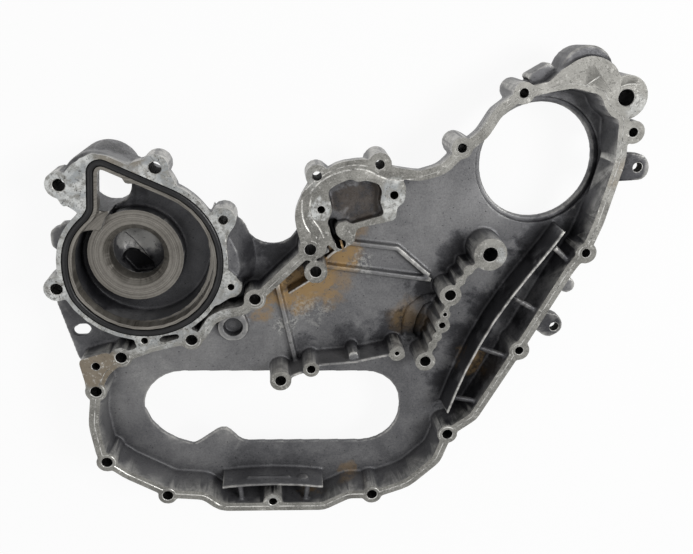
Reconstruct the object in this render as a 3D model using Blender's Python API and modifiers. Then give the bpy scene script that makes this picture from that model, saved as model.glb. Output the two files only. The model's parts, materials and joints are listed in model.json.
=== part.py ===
"""Timing cover: one aluminium die casting with a machined gasket face, and the rubber seal of its pump bay.

The cover lies on its outer side with the gasket face up. Plan positions and depths are in millimetres
from the datum, a point on the gasket face near the middle of the cover: X right, Y up the plan,
Z up out of the face, so a depth is negative. The datum empty puts the whole cover on Z = 0.
"""

import math

import bmesh
import bpy
from mathutils import Vector, kdtree

MM = 0.001

# Overall frame. The cover lies on the foot under the suction bowl, so the bowl sets its depth
BOWL_DEPTH = 61.5
FOOT_WALL = 4.5
BASE_DEPTH = BOWL_DEPTH + FOOT_WALL
DATUM_X = -5.3
DATUM_Y = 4.3

# Gasket flange, outer wall and floor
RIM_WIDTH = 7.6
FLOOR_DEPTH = 28.0
FLOOR_WALL = 4.0
UNDERSIDE = FLOOR_DEPTH + FLOOR_WALL
WALL_DRAFT = 2.2
DECK_DEPTH = 21.0
DECK_WALL = 4.5
SLOPE_TOP_DEPTH = 1.5
SLOPE_WIDTH = 13.0
FACE_ALLOWANCE = 2.0
CUTTER_MARGIN = 3.0
ROOT = 1.0

# Bolt bosses and their holes
BOSS_DRAFT = 0.6
BOSS_RADIUS = 8.8
BOLT_SEAT_DEPTH = 36.0
CORNER_BOSS = (213.5, 157.8, 17.6)
CORNER_BOSS_DEPTH = 40.0
CORNER_HOLE_RADIUS = 6.2
M8_CLEARANCE = 9.0
M6_CLEARANCE = 7.0
M6_TAPPED = 5.2
TAPPED_DEPTH = 18.0
BLIND_DEPTH = 16.0
TOP_CLEARANCE = 0.6

# Pump bay
PUMP_CENTRE = (-159.7, 37.9)
PUMP_EAR_DEPTH = 14.0
PUMP_BOSS_DEPTH = 24.0
PUMP_LAND = 3.4
PUMP_BORE_DEPTH = 12.0
SEAL_RADIUS = 60.7
SEAL_START = 137.0
SEAL_END = 426.0
SEAL_CORNERS = [(-188.5, 119.5, 8), (-192.8, 80.5, 14)]
SEAL_GROOVE_WIDTH = 5.4
SEAL_GROOVE_DEPTH = 3.6
SEAL_GAP = 0.3
SEAL_STAND = 0.7
SEAL_CROWN = 1.1
LIP_WIDTH = 2.4
LIP_DEPTH = 0.8

# Spiral channel, machined ring and the suction passage under it
SCROLL_DEPTH = 36.0
SCROLL_WALL = 4.0
SCROLL_START_RADIUS = 44.0
SCROLL_END_RADIUS = 61.0
SCROLL_START = 158.0
SCROLL_SWEEP = 318.0
SCROLL_GROWTH_SHARE = 0.7
RING_CENTRE = (-167.3, 35.8)
RING_RADIUS = 37.8
RING_DEPTH = 22.0
EYE_MOUTH_RADIUS = 26.0
EYE_RADIUS = 21.3
EYE_CHAMFER_DEPTH = 5.0
BOWL_STEP = 1.5
DUCT_HALF_WIDTH = 16.0
DUCT_HALF_HEIGHT = 9.5
DUCT_DEPTH = BOWL_DEPTH - DUCT_HALF_HEIGHT - BOWL_STEP
DUCT_LENGTH = 74.0
SUCTION_WALL = 4.0
SUCTION_FOOT_RADIUS = 18.0

# Outlet
OUTLET_CENTRE = (-184.5, 92.5)
OUTLET_RADIUS = 17.0
OUTLET_PIPE_CENTRE = (-187.0, 98.0)
OUTLET_PIPE_RADIUS = 25.0
OUTLET_PIPE_DEPTH = BASE_DEPTH - 6.0
OUTLET_PIPE_TOP = 6.0

# Round opening at the top right, and the lump and lugs round it
WHEEL_HOLE_CENTRE = (158.8, 104.4)
WHEEL_HOLE_RADIUS = 47.3
WHEEL_RECESS_RADIUS = 51.0
WHEEL_RECESS_DEPTH = 3.0
WHEEL_COLLAR_RADIUS = 55.0
WHEEL_COLLAR_DEPTH = 38.0
TOP_LUMP = (182.0, 175.5, 19.5)
TOP_LUMP_DEPTH = 31.0
LUG_TOP = 10.0
LUG_BOTTOM = 20.0
LUG_HOLE_RADIUS = 3.8

# Breather pocket beside the upper wall
POCKET_DEPTH = 8.0
POCKET_GAP_DEPTH = 19.0

# Chain baffles
BAFFLE_THICKNESS = 3.0
BAFFLE_TOP_DEPTH = 1.5
BAFFLE_DRAFT = 0.4
PIN_RADIUS = 2.5
PIN_DEPTH = 7.0
MARK_DEPTH = 12.0

# Floor ribs, webs between the bosses and the round step in the floor
RIB_WIDTH = 5.6
RIB_HEIGHT = 4.6
RIB_DRAFT = 1.0
WEB_WIDTH = 5.0
LOWER_WEB_WIDTH = 3.4
WEB_TOP_DEPTH = TOP_CLEARANCE + 0.1
LOWER_WEB_DEPTH = 1.3
WEB_PIN_DEPTH = 4.5
WEDGE_DEPTH = 9.0
STEP_DEPTH = 1.8
INNER_STEP_DEPTH = 4.5
PLUG_RADIUS = 8.0
PLUG_WALL = 3.2

# Smoothness
ARC_SAG = 0.3
BOSS_SIDES = 14
HOLE_SIDES = 8
PIN_SIDES = 8
WIDE_SIDES = 24
ROUND_SIDES = 44

# The middle line of the gasket flange, clockwise from the lower left: X, Y and corner radius
FLANGE_PATH = [
    (-207.0, -73.0, 12), (-198.0, -56.0, 14), (-183.0, -43.7, 12), (-159.0, -35.6, 20), (-136.7, -30.8, 12),
    (-120.0, -30.0, 6), (-108.5, -13.0, 7), (-98.5, -8.3, 8), (-83.0, -6.0, 8), (-30.5, 42.5, 12),
    (-37.5, 72.0, 24), (-26.4, 94.5, 20), (-6.0, 108.5, 24), (13.0, 111.0, 22), (36.0, 104.0, 20),
    (57.0, 100.5, 22), (75.0, 105.5, 18), (88.0, 118.5, 16), (105.0, 132.0, 20), (115.0, 148.5, 16),
    (133.0, 162.0, 24), (155.0, 166.8, 24), (172.0, 169.5, 20), (196.5, 163.5, 10), (202.0, 152.0, 9),
    (214.5, 143.0, 9), (216.0, 110.0, 30), (204.5, 59.0, 40), (197.0, 37.5, 14), (185.0, 20.5, 14),
    (147.5, -51.0, 30), (112.0, -115.5, 14), (90.5, -130.5, 14), (81.0, -158.0, 18), (55.0, -181.5, 30),
    (24.0, -191.5, 20), (2.0, -190.0, 14), (-21.0, -201.0, 14), (-112.0, -195.5, 16), (-126.0, -182.5, 14),
    (-155.0, -178.5, 20), (-190.0, -156.0, 30), (-209.0, -139.0, 18), (-212.5, -105.0, 40),
]

# Bolt bosses of the gasket flange: X, Y, hole diameter, boss radius
FLANGE_BOLTS = [
    (-206.5, -73.7, M8_CLEARANCE, BOSS_RADIUS), (-183.2, -43.7, M8_CLEARANCE, BOSS_RADIUS),
    (-126.0, -30.4, M8_CLEARANCE, BOSS_RADIUS), (-73.5, 3.1, M8_CLEARANCE, BOSS_RADIUS),
    (-28.5, 43.6, M8_CLEARANCE, 9.2), (-22.3, 102.1, M6_CLEARANCE, 8.8),
    (25.6, 110.0, M6_CLEARANCE, 9.2), (88.7, 121.4, M6_CLEARANCE, 8.4),
    (133.6, 161.8, M6_CLEARANCE, 8.4), (222.9, 131.4, M6_CLEARANCE, 9.0),
    (196.7, 33.7, M6_CLEARANCE, 8.8), (148.1, -52.4, M6_CLEARANCE, 8.8),
    (89.6, -131.9, M8_CLEARANCE, BOSS_RADIUS), (23.2, -191.2, M8_CLEARANCE, BOSS_RADIUS),
    (-66.2, -192.7, M6_CLEARANCE, 8.4), (-157.6, -179.8, M8_CLEARANCE, 8.2),
    (-205.5, -142.3, M8_CLEARANCE, BOSS_RADIUS),
]

# Bolt bosses of the pump flange: X, Y, hole diameter, boss radius
PUMP_BOLTS = [
    (-213.0, 99.3, M8_CLEARANCE, 10.2), (-142.3, 110.9, M8_CLEARANCE, 10.0),
    (-94.7, 69.5, M6_CLEARANCE, 9.6), (-91.9, 14.4, M6_TAPPED, 8.6),
    (-225.7, 17.4, M8_CLEARANCE, 9.8), (-163.3, -29.5, M6_TAPPED, 7.6),
]

# Bosses inside the cover: X, Y, hole diameter, boss radius, depth of the top, drilled through or not
INNER_BOSSES = [
    (-24.4, 24.6, M8_CLEARANCE, 9.3, 1.0, True), (117.0, 34.8, 12.0, 13.8, TOP_CLEARANCE, True),
    (85.8, 0.4, M8_CLEARANCE, 9.2, TOP_CLEARANCE, True), (80.2, -26.4, M6_TAPPED, 6.6, TOP_CLEARANCE, False),
    (67.2, -59.2, M8_CLEARANCE, 8.6, TOP_CLEARANCE, True), (42.8, -51.0, 3.6, 6.6, 1.0, False),
    (-29.6, -62.2, M6_CLEARANCE, 6.8, TOP_CLEARANCE, False),
    (-55.4, -71.6, M8_CLEARANCE, 9.0, TOP_CLEARANCE, True),
]

# Other drilled holes: name, X, Y, radius, depth
SMALL_HOLES = [
    ("corner_pad_hole", -203.9, -50.6, 3.2, BLIND_DEPTH), ("pocket_hole_left", -19.6, 75.8, 2.8, BLIND_DEPTH),
    ("pocket_hole_right", 37.2, 85.9, 3.2, BLIND_DEPTH), ("pocket_drain", -4.4, 47.4, 3.9, 24.0),
    ("web_hole", 82.2, -16.6, 1.6, 12.0),
]
LUG_HOLES = [(235.3, 101.8), (180.6, -35.8)]

# Thickenings of the web between the bosses: X, Y, radius
WEB_NODES = [(99.7, 22.0, 4.6), (93.6, 12.6, 4.4), (82.2, -16.6, 4.9), (76.2, -36.6, 4.6), (72.6, -44.0, 4.2)]

# The deeper step in the floor beside the web: X, Y, corner radius
INNER_STEP = [(61, -46, 4), (64.5, -30, 6), (70, -19, 5), (82, -15, 0), (84, -32, 0), (70, -52, 0)]

# Tall pillars of the outer side, which carry the bracket faces: X, Y, radius
OUTER_PILLARS = [(117.0, 34.8, 14.0), (89.6, -131.9, 10.0)]
PILLAR_DRAFT = 1.0

# Cast pins that hold the baffles: start and end on the plan
BAFFLE_PINS = [
    ((172.0, 37.3), (185.5, 25.0)), ((139.5, -5.0), (163.0, -19.0)), ((113.5, -50.5), (139.0, -60.5)),
    ((95.5, -98.5), (116.0, -103.5)), ((-94.8, -176.0), (-93.8, -196.0)), ((-34.2, -179.0), (-37.2, -200.0)),
]


def fresh_scene():
    for obj in list(bpy.data.objects):
        bpy.data.objects.remove(obj, do_unlink=True)
    for collection in list(bpy.data.collections):
        bpy.data.collections.remove(collection)


def new_collection(name, hidden=False):
    collection = bpy.data.collections.new(name)
    bpy.context.scene.collection.children.link(collection)
    collection.hide_render = hidden
    return collection


def material(name, colour, roughness, metallic):
    mat = bpy.data.materials.new(name)
    mat.use_nodes = True
    shader = mat.node_tree.nodes["Principled BSDF"]
    shader.inputs["Base Color"].default_value = (*colour, 1)
    shader.inputs["Roughness"].default_value = roughness
    shader.inputs["Metallic"].default_value = metallic
    mat.diffuse_color = (*colour, 1)
    return mat


def arc_step(radius):
    """The angle between two points of an arc, so that its chords stay within ARC_SAG of it."""
    return 2 * math.acos(max(0.5, 1 - ARC_SAG / max(radius, ARC_SAG)))


def rounded(corners):
    """Closed outline of the corners (X, Y, radius), each turned into an arc that fits its two sides."""
    outline = []
    count = len(corners)
    for index, (x, y, radius) in enumerate(corners):
        here = Vector((x, y))
        back = Vector(corners[index - 1][:2]) - here
        ahead = Vector(corners[(index + 1) % count][:2]) - here
        turn = math.pi - back.angle(ahead)
        reach = radius * math.tan(turn / 2)
        limit = 0.49 * min(back.length, ahead.length)
        if reach < 0.05:
            outline.append(here)
            continue
        if reach > limit:
            radius *= limit / reach
            reach = limit
        start = here + back.normalized() * reach
        end = here + ahead.normalized() * reach
        inward = (back.normalized() + ahead.normalized()).normalized()
        centre = here + inward * math.hypot(radius, reach)
        first = start - centre
        swing = first.angle_signed(end - centre)
        steps = max(1, math.ceil(abs(swing) / arc_step(radius)))
        for step in range(steps + 1):
            angle = math.atan2(first.y, first.x) - swing * step / steps
            outline.append(centre + radius * Vector((math.cos(angle), math.sin(angle))))
    return outline


def arc(centre, radius, start, end):
    """Points of an arc in degrees, counter-clockwise where end is above start."""
    steps = max(1, math.ceil(abs(math.radians(end - start)) / arc_step(radius)))
    angles = [math.radians(start + (end - start) * k / steps) for k in range(steps + 1)]
    return [Vector((centre[0] + radius * math.cos(a), centre[1] + radius * math.sin(a))) for a in angles]


def circle(centre, radius, sides=ROUND_SIDES):
    angles = [2 * math.pi * k / sides for k in range(sides)]
    return [Vector((centre[0] + radius * math.cos(a), centre[1] + radius * math.sin(a))) for a in angles]


def offset(outline, distance):
    """The outline moved outwards by the distance, with mitred corners."""
    area = sum(a.x * b.y - b.x * a.y for a, b in zip(outline, outline[1:] + outline[:1]))
    side = distance if area > 0 else -distance
    moved = []
    for before, here, after in zip(outline[-1:] + outline[:-1], outline, outline[1:] + outline[:1]):
        edge_in = (here - before).normalized()
        edge_out = (after - here).normalized()
        normal_in = Vector((edge_in.y, -edge_in.x))
        normal_out = Vector((edge_out.y, -edge_out.x))
        moved.append(here + (normal_in + normal_out) * (side / (1 + normal_in.dot(normal_out))))
    return moved


def strip(points, width):
    """Closed outline of a band of one width along an open line of points."""
    line = [Vector(p[:2]) for p in points]
    left, right = [], []
    for index, here in enumerate(line):
        before = line[index - 1] if index > 0 else here * 2 - line[1]
        after = line[index + 1] if index < len(line) - 1 else here * 2 - line[-2]
        edge_in = (here - before).normalized()
        edge_out = (after - here).normalized()
        normal_in = Vector((-edge_in.y, edge_in.x))
        normal_out = Vector((-edge_out.y, edge_out.x))
        across = (normal_in + normal_out) * (width / 2 / (1 + normal_in.dot(normal_out)))
        left.append(here + across)
        right.append(here - across)
    return left + right[::-1]


def place(name, mesh, collection, datum, location=(0, 0, 0)):
    obj = bpy.data.objects.new(name, mesh)
    obj.parent = datum
    obj.location = Vector(location) * MM
    collection.objects.link(obj)
    if collection.hide_render:
        obj.hide_render = True
        obj.display_type = "WIRE"
    return obj


class Shop:
    """Makes closed solids in one collection, all measured from the datum."""

    def __init__(self, collection, datum):
        self.collection = collection
        self.datum = datum

    def slab(self, name, loops, low, high, taper=0.0):
        """A flat outline with its holes, raised from low to high. The top is smaller all round by taper."""
        curve = bpy.data.curves.new(name, "CURVE")
        curve.dimensions = "2D"
        curve.fill_mode = "BOTH"
        curve.extrude = (high - low) / 2 * MM
        for loop in loops:
            spline = curve.splines.new("POLY")
            spline.points.add(len(loop) - 1)
            for point, corner in zip(spline.points, loop):
                point.co = (corner.x * MM, corner.y * MM, 0, 1)
            spline.use_cyclic_u = True
        guide = bpy.data.objects.new(name, curve)
        self.collection.objects.link(guide)
        bpy.context.view_layer.update()
        graph = bpy.context.evaluated_depsgraph_get()
        mesh = bpy.data.meshes.new_from_object(guide.evaluated_get(graph))
        bpy.data.objects.remove(guide, do_unlink=True)
        form = bmesh.new()
        form.from_mesh(mesh)
        bmesh.ops.remove_doubles(form, verts=form.verts, dist=1e-6)
        if taper:
            self.pull_top(form, loops, taper)
        bmesh.ops.recalc_face_normals(form, faces=form.faces)
        form.to_mesh(mesh)
        form.free()
        return place(name, mesh, self.collection, self.datum, (0, 0, (high + low) / 2))

    @staticmethod
    def pull_top(form, loops, taper):
        """Moves the top edge of each loop inwards, and of each hole outwards, by the taper."""
        targets = []
        for index, loop in enumerate(loops):
            targets += zip(loop, offset(loop, -taper if index == 0 else taper))
        tree = kdtree.KDTree(len(targets))
        for index, (start, _) in enumerate(targets):
            tree.insert((start.x * MM, start.y * MM, 0), index)
        tree.balance()
        for vert in form.verts:
            if vert.co.z > 0:
                _, index, _ = tree.find((vert.co.x, vert.co.y, 0))
                end = targets[index][1]
                vert.co.x = end.x * MM
                vert.co.y = end.y * MM

    def post(self, name, x, y, radius, low, high, draft=0.0, sides=BOSS_SIDES):
        """A round post or drill, its top smaller by the draft."""
        form = bmesh.new()
        bmesh.ops.create_cone(
            form, cap_ends=True, segments=sides, radius1=radius * MM, radius2=(radius - draft) * MM,
            depth=(high - low) * MM,
        )
        mesh = bpy.data.meshes.new(name)
        form.to_mesh(mesh)
        form.free()
        return place(name, mesh, self.collection, self.datum, (x, y, (high + low) / 2))

    def turned(self, name, x, y, profile, sides=ROUND_SIDES):
        """A profile of (radius, Z) pairs turned round an upright axis. It runs down its outer side."""
        form = bmesh.new()
        verts = [form.verts.new((r * MM, 0, z * MM)) for r, z in profile]
        for a, b in zip(verts, verts[1:]):
            form.edges.new((a, b))
        mesh = bpy.data.meshes.new(name)
        form.to_mesh(mesh)
        form.free()
        obj = place(name, mesh, self.collection, self.datum, (x, y, 0))
        screw = obj.modifiers.new("turn", "SCREW")
        screw.steps = sides
        screw.render_steps = sides
        screw.use_merge_vertices = True
        screw.merge_threshold = 0.0001
        screw.use_smooth_shade = False
        return obj

    def pin(self, name, start, end, radius, sides=PIN_SIDES):
        """A round bar between two points (X, Y, Z)."""
        a, b = Vector(start), Vector(end)
        form = bmesh.new()
        bmesh.ops.create_cone(
            form, cap_ends=True, segments=sides, radius1=radius * MM, radius2=radius * MM,
            depth=(b - a).length * MM,
        )
        mesh = bpy.data.meshes.new(name)
        form.to_mesh(mesh)
        form.free()
        obj = place(name, mesh, self.collection, self.datum, (a + b) / 2)
        obj.rotation_mode = "QUATERNION"
        obj.rotation_quaternion = Vector((0, 0, 1)).rotation_difference(b - a)
        return obj

    def duct(self, name, start, length, half_width, half_height):
        """A level oval bar that runs from its start towards -Y."""
        x, y, z = start
        obj = self.pin(name, (x, y, z), (x, y - length, z), half_width, WIDE_SIDES)
        obj.scale = (1, half_height / half_width, 1)
        return obj


def combine(target, name, collection, operation):
    """All the solids of a collection joined to the casting, or cut out of it, in one step."""
    step = target.modifiers.new(name, "BOOLEAN")
    step.operand_type = "COLLECTION"
    step.collection = collection
    step.operation = operation
    step.solver = "MANIFOLD"


def seal_path():
    """The middle line of the pump seal: most of a circle, with a corner drawn out over the outlet."""
    ring = arc(PUMP_CENTRE, SEAL_RADIUS, SEAL_START, SEAL_END)
    return rounded([(p.x, p.y, 0) for p in ring] + SEAL_CORNERS)


def scroll_outline():
    """The pump's spiral channel round the ring, from the tongue anticlockwise to the outlet."""
    outline = []
    steps = math.ceil(math.radians(SCROLL_SWEEP) / arc_step(SCROLL_END_RADIUS))
    for step in range(steps + 1):
        share = step / steps
        angle = math.radians(SCROLL_START + SCROLL_SWEEP * share)
        growth = min(1.0, share / SCROLL_GROWTH_SHARE)
        radius = SCROLL_START_RADIUS + (SCROLL_END_RADIUS - SCROLL_START_RADIUS) * growth
        x = RING_CENTRE[0] + radius * math.cos(angle)
        y = RING_CENTRE[1] + radius * math.sin(angle)
        outline.append(Vector((x, y)))
    return outline


def build_wall(datum, parts):
    """The tray: the area inside the flange's outer edge, as high as the casting before its core."""
    shop = Shop(parts, datum)
    outer = offset(rounded(FLANGE_PATH), RIM_WIDTH / 2)
    return shop.slab("cover_casting", [outer], -UNDERSIDE, FACE_ALLOWANCE)


def build_pump_blanks(shop):
    """The pump body with its flange ears, the outlet pipe, and the suction passage under the ring."""
    land = offset(seal_path(), SEAL_GROOVE_WIDTH / 2 + PUMP_LAND)
    shop.slab("pump_body", [land], -SCROLL_DEPTH - SCROLL_WALL, FACE_ALLOWANCE)
    ears = {
        "pump_corner": [
            (-214, 86, 6), (-217, 98, 8), (-203, 114, 8), (-187, 123, 8), (-170, 117, 6), (-186, 92, 0),
            (-201, 70, 8),
        ],
        "pump_ear_right": [
            (-166, 113, 8), (-150, 117.5, 6), (-133, 108, 4), (-127, 97, 8), (-112, 88, 6), (-130, 80, 0),
            (-160, 95, 0),
        ],
        "pump_ear_outer": [
            (-109, 84, 6), (-97, 79, 4), (-86, 66, 4), (-93, 55, 8), (-94.5, 38, 4), (-104, 40, 0),
            (-118, 76, 0),
        ],
        "pump_ear_lower": [
            (-98, 40, 0), (-94.5, 30, 6), (-85.5, 21, 6), (-83.5, 9, 6), (-94, 5, 4), (-107, -3, 6),
            (-115, 10, 0),
        ],
        "pump_bridge": [
            (-160, -22, 0), (-128, -19, 0), (-119, -25, 0), (-127, -33, 0), (-160, -37, 0),
        ],
    }
    for name, outline in ears.items():
        shop.slab(name, [rounded(outline)], -PUMP_EAR_DEPTH, FACE_ALLOWANCE)
    pipe_ends = (-OUTLET_PIPE_DEPTH, -OUTLET_PIPE_TOP)
    shop.post("outlet_pipe", *OUTLET_PIPE_CENTRE, OUTLET_PIPE_RADIUS, *pipe_ends, 0, WIDE_SIDES + 8)
    web = rounded([(-219, 92, 6), (-205, 117, 6), (-187, 100, 0), (-195, 80, 0)])
    shop.slab("outlet_web", [web], -SCROLL_DEPTH - SCROLL_WALL, -8)
    shop.duct(
        "suction_pipe", (*RING_CENTRE, -DUCT_DEPTH), DUCT_LENGTH, DUCT_HALF_WIDTH + SUCTION_WALL,
        DUCT_HALF_HEIGHT + SUCTION_WALL,
    )
    bowl_floor = BOWL_DEPTH + ROOT / 2
    bowl_radius = EYE_RADIUS + SUCTION_WALL
    shop.post("suction_bowl", *RING_CENTRE, bowl_radius, -bowl_floor, -SCROLL_DEPTH + ROOT, 0, WIDE_SIDES + 8)
    foot_ends = (-BASE_DEPTH - ROOT, ROOT - bowl_floor)
    shop.post("suction_foot", *RING_CENTRE, SUCTION_FOOT_RADIUS, *foot_ends, 0, WIDE_SIDES)


def build_decks(shop):
    """The lower plates beside the pump bay, and the slope from the pump flange to the neck."""
    left = [(-235, 4, 6), (-222, -56, 6), (-190, -60, 0), (-120, -40, 0), (-95, 0, 0), (-160, 30, 0)]
    shop.slab("lower_left_deck", [rounded(left)], -DECK_DEPTH - DECK_WALL, -DECK_DEPTH)
    neck = [
        (-120, 60, 0), (-92, 72, 6), (-84, 61, 10), (-72, 46, 22), (-57, 41.5, 22), (-43, 46, 18),
        (-36, 58, 8), (-20, 60, 0), (-20, 30, 0), (-70, -12, 0), (-120, -34, 0),
    ]
    shop.slab("neck_deck", [rounded(neck)], -DECK_DEPTH - DECK_WALL, -DECK_DEPTH)
    slope = [
        (-116, 68, 0), (-97, 76, 6), (-80, 63, 8), (-73, 46, 10), (-71, 30, 10), (-75, 15, 6), (-92, 4, 0),
        (-116, 20, 0),
    ]
    shop.slab("neck_slope", [rounded(slope)], -DECK_DEPTH - ROOT, -SLOPE_TOP_DEPTH, SLOPE_WIDTH)


def build_lugs(shop):
    """The pads, lugs, lump and pillars that stand out from the tray's wall and underside."""
    pad = [
        (151.6, 169.8, 6), (162.1, 179.3, 12), (172.8, 186.1, 14), (182.4, 188.7, 14), (193.1, 186.6, 12),
        (201.9, 181.2, 8), (206.5, 174.0, 4), (208.0, 160.0, 0), (200, 148, 0), (170, 160, 0), (141, 160, 0),
    ]
    shop.slab("top_pad", [rounded(pad)], -FLOOR_DEPTH, FACE_ALLOWANCE)
    shop.post("top_lump", *TOP_LUMP, -TOP_LUMP_DEPTH, -4, -1.0, WIDE_SIDES)
    rect = [(137, 173.5, 2), (154.5, 183.5, 2), (164, 174, 0), (146, 162, 0)]
    shop.slab("rect_lug", [rounded(rect)], -LUG_BOTTOM - 4, -LUG_TOP)
    sides = {
        "lug_right": [(205, 115, 0), (240, 112, 8), (246, 102, 8), (243, 91.5, 8), (205, 90, 0)],
        "lug_lower_right": [
            (165, -20, 0), (184, -25, 9), (190, -38, 9), (176, -47, 9), (158, -33, 0), (160, -25, 0),
        ],
    }
    for name, outline in sides.items():
        shop.slab(name, [rounded(outline)], -LUG_BOTTOM, -LUG_TOP)
    shop.post("lug_small", 187.2, 3.0, 6.6, -LUG_BOTTOM, -LUG_TOP + 2)
    shop.post("lug_wall", 210.0, 72.0, 4.0, -LUG_BOTTOM - 4, -6, 0, PIN_SIDES)
    shop.slab("lug_left", [rounded([(-217, 64, 4), (-229, 61, 5), (-229.5, 46, 5), (-217, 42, 4)])], -26, -15)
    pad = [
        (-217.2, -44.5, 4), (-195, -38.5, 3), (-186, -42, 0), (-188.5, -58, 0), (-200, -76, 0),
        (-213.9, -82, 3), (-214.3, -64, 6),
    ]
    shop.slab("corner_pad", [rounded(pad)], -UNDERSIDE, FACE_ALLOWANCE)
    backing = offset(rounded(INNER_STEP), FLOOR_WALL)
    shop.slab("step_backing", [backing], -UNDERSIDE - INNER_STEP_DEPTH, -FLOOR_DEPTH - ROOT)
    collar = (WHEEL_COLLAR_RADIUS, -WHEEL_COLLAR_DEPTH, -FLOOR_DEPTH - ROOT)
    shop.post("wheel_collar", *WHEEL_HOLE_CENTRE, *collar, 0, ROUND_SIDES)
    pillar_ends = (-BASE_DEPTH - ROOT, -FLOOR_DEPTH - ROOT)
    for index, (x, y, radius) in enumerate(OUTER_PILLARS):
        shop.post(f"pillar_{index}", x, y, radius, *pillar_ends, -PILLAR_DRAFT, WIDE_SIDES - 4)


def build_cores(shop):
    """The hollows that the cores leave: the tray's inside, the steps in its floor, and the pump bay."""
    cavity = offset(rounded(FLANGE_PATH), -RIM_WIDTH / 2 - WALL_DRAFT)
    over_face = FACE_ALLOWANCE + ROOT
    shop.slab("tray_core", [cavity], -FLOOR_DEPTH, over_face, -WALL_DRAFT)
    step = [
        (50, -40, 12), (54, -20, 14), (68, -9, 10), (82, -8, 0), (84, -46, 0), (66, -50, 6), (52, -50, 4),
    ]
    shop.slab("floor_step", [rounded(step)], -FLOOR_DEPTH - STEP_DEPTH, -FLOOR_DEPTH + ROOT)
    shop.slab("inner_step", [rounded(INNER_STEP)], -FLOOR_DEPTH - INNER_STEP_DEPTH, -FLOOR_DEPTH + ROOT)
    bay = offset(seal_path(), -SEAL_GROOVE_WIDTH / 2 - LIP_WIDTH)
    shop.slab("pump_bore", [bay], -PUMP_BORE_DEPTH, over_face)
    channel_top = -PUMP_BORE_DEPTH + ROOT
    shop.slab("scroll_core", [scroll_outline(), circle(RING_CENTRE, RING_RADIUS)], -SCROLL_DEPTH, channel_top)
    shop.post("ring_face_core", *RING_CENTRE, RING_RADIUS + ROOT, -RING_DEPTH, channel_top, 0, ROUND_SIDES)
    outlet_bottom = -BASE_DEPTH - CUTTER_MARGIN
    shop.post("outlet_core", *OUTLET_CENTRE, OUTLET_RADIUS, outlet_bottom, channel_top, 0, WIDE_SIDES + 8)


def build_bosses(shop):
    """The bolt bosses of both flanges and those inside the tray."""
    for index, (x, y, hole, radius) in enumerate(FLANGE_BOLTS):
        name = f"flange_boss_{index}"
        shop.post(name, x, y, radius + BOSS_DRAFT, -BOLT_SEAT_DEPTH, FACE_ALLOWANCE, BOSS_DRAFT)
    for index, (x, y, hole, radius) in enumerate(PUMP_BOLTS):
        name = f"pump_boss_{index}"
        shop.post(name, x, y, radius + BOSS_DRAFT, -PUMP_BOSS_DEPTH, FACE_ALLOWANCE, BOSS_DRAFT)
    shop.post("corner_boss", *CORNER_BOSS, -CORNER_BOSS_DEPTH, FACE_ALLOWANCE, 1.0, WIDE_SIDES)
    for index, (x, y, hole, radius, top, through) in enumerate(INNER_BOSSES):
        low = -BOLT_SEAT_DEPTH if through else ROOT - UNDERSIDE
        shop.post(f"inner_boss_{index}", x, y, radius + BOSS_DRAFT, low, -top, BOSS_DRAFT, BOSS_SIDES + 2)
    shop.post("web_pin", 6.4, -53.6, 4.9, ROOT - UNDERSIDE, -WEB_PIN_DEPTH, 0.4, PIN_SIDES + 2)


def build_webs(shop):
    """The walls that link the bosses, the ribs on the floor and the blind plug boss."""
    root = ROOT - UNDERSIDE
    web = [(116, 34), (99.7, 21), (85.8, 0.4), (82.0, -16.8), (80.2, -26.4), (75, -39), (67.2, -59.2)]
    shop.slab("boss_web", [strip(web, WEB_WIDTH)], root, -WEB_TOP_DEPTH, 0.5)
    for index, (x, y, radius) in enumerate(WEB_NODES):
        shop.post(f"web_node_{index}", x, y, radius, root, -WEB_TOP_DEPTH - 0.1, 0.3, PIN_SIDES + 2)
    lower_web = [(-55.4, -71.6), (-29.6, -62.2), (-22, -59), (7, -57.5), (42.8, -51.0), (50, -54.5)]
    shop.slab("lower_web", [strip(lower_web, LOWER_WEB_WIDTH)], root, -LOWER_WEB_DEPTH, BAFFLE_DRAFT)
    ribs = {
        "rib_upper": [(1, 41.0), (44.7, 34.5), (73.0, 8.8)],
        "rib_lower": [(-20, 21.6), (75.0, 5.6)],
        "rib_left": [(-56.1, 8), (-42.0, -66.7)],
    }
    for name, line in ribs.items():
        rib = strip(line, RIB_WIDTH)
        shop.slab(name, [rib], -FLOOR_DEPTH - ROOT, -FLOOR_DEPTH + RIB_HEIGHT, RIB_DRAFT)
    shop.slab("rib_short", [strip([(-47, 1), (-26, 14)], 3.0)], -FLOOR_DEPTH - ROOT, -FLOOR_DEPTH / 2, 0.6)
    link = strip([(-18, 24.5), (-9.4, 32.2), (-2, 37)], 3.6)
    shop.slab("rib_link", [link], -FLOOR_DEPTH - ROOT, -FLOOR_DEPTH + RIB_HEIGHT, 0.6)
    plug = (PLUG_RADIUS + PLUG_WALL, -UNDERSIDE - FLOOR_WALL, -FLOOR_DEPTH + RIB_HEIGHT)
    shop.post("plug_boss", -93.3, -26.0, *plug, BOSS_DRAFT, WIDE_SIDES)


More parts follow.
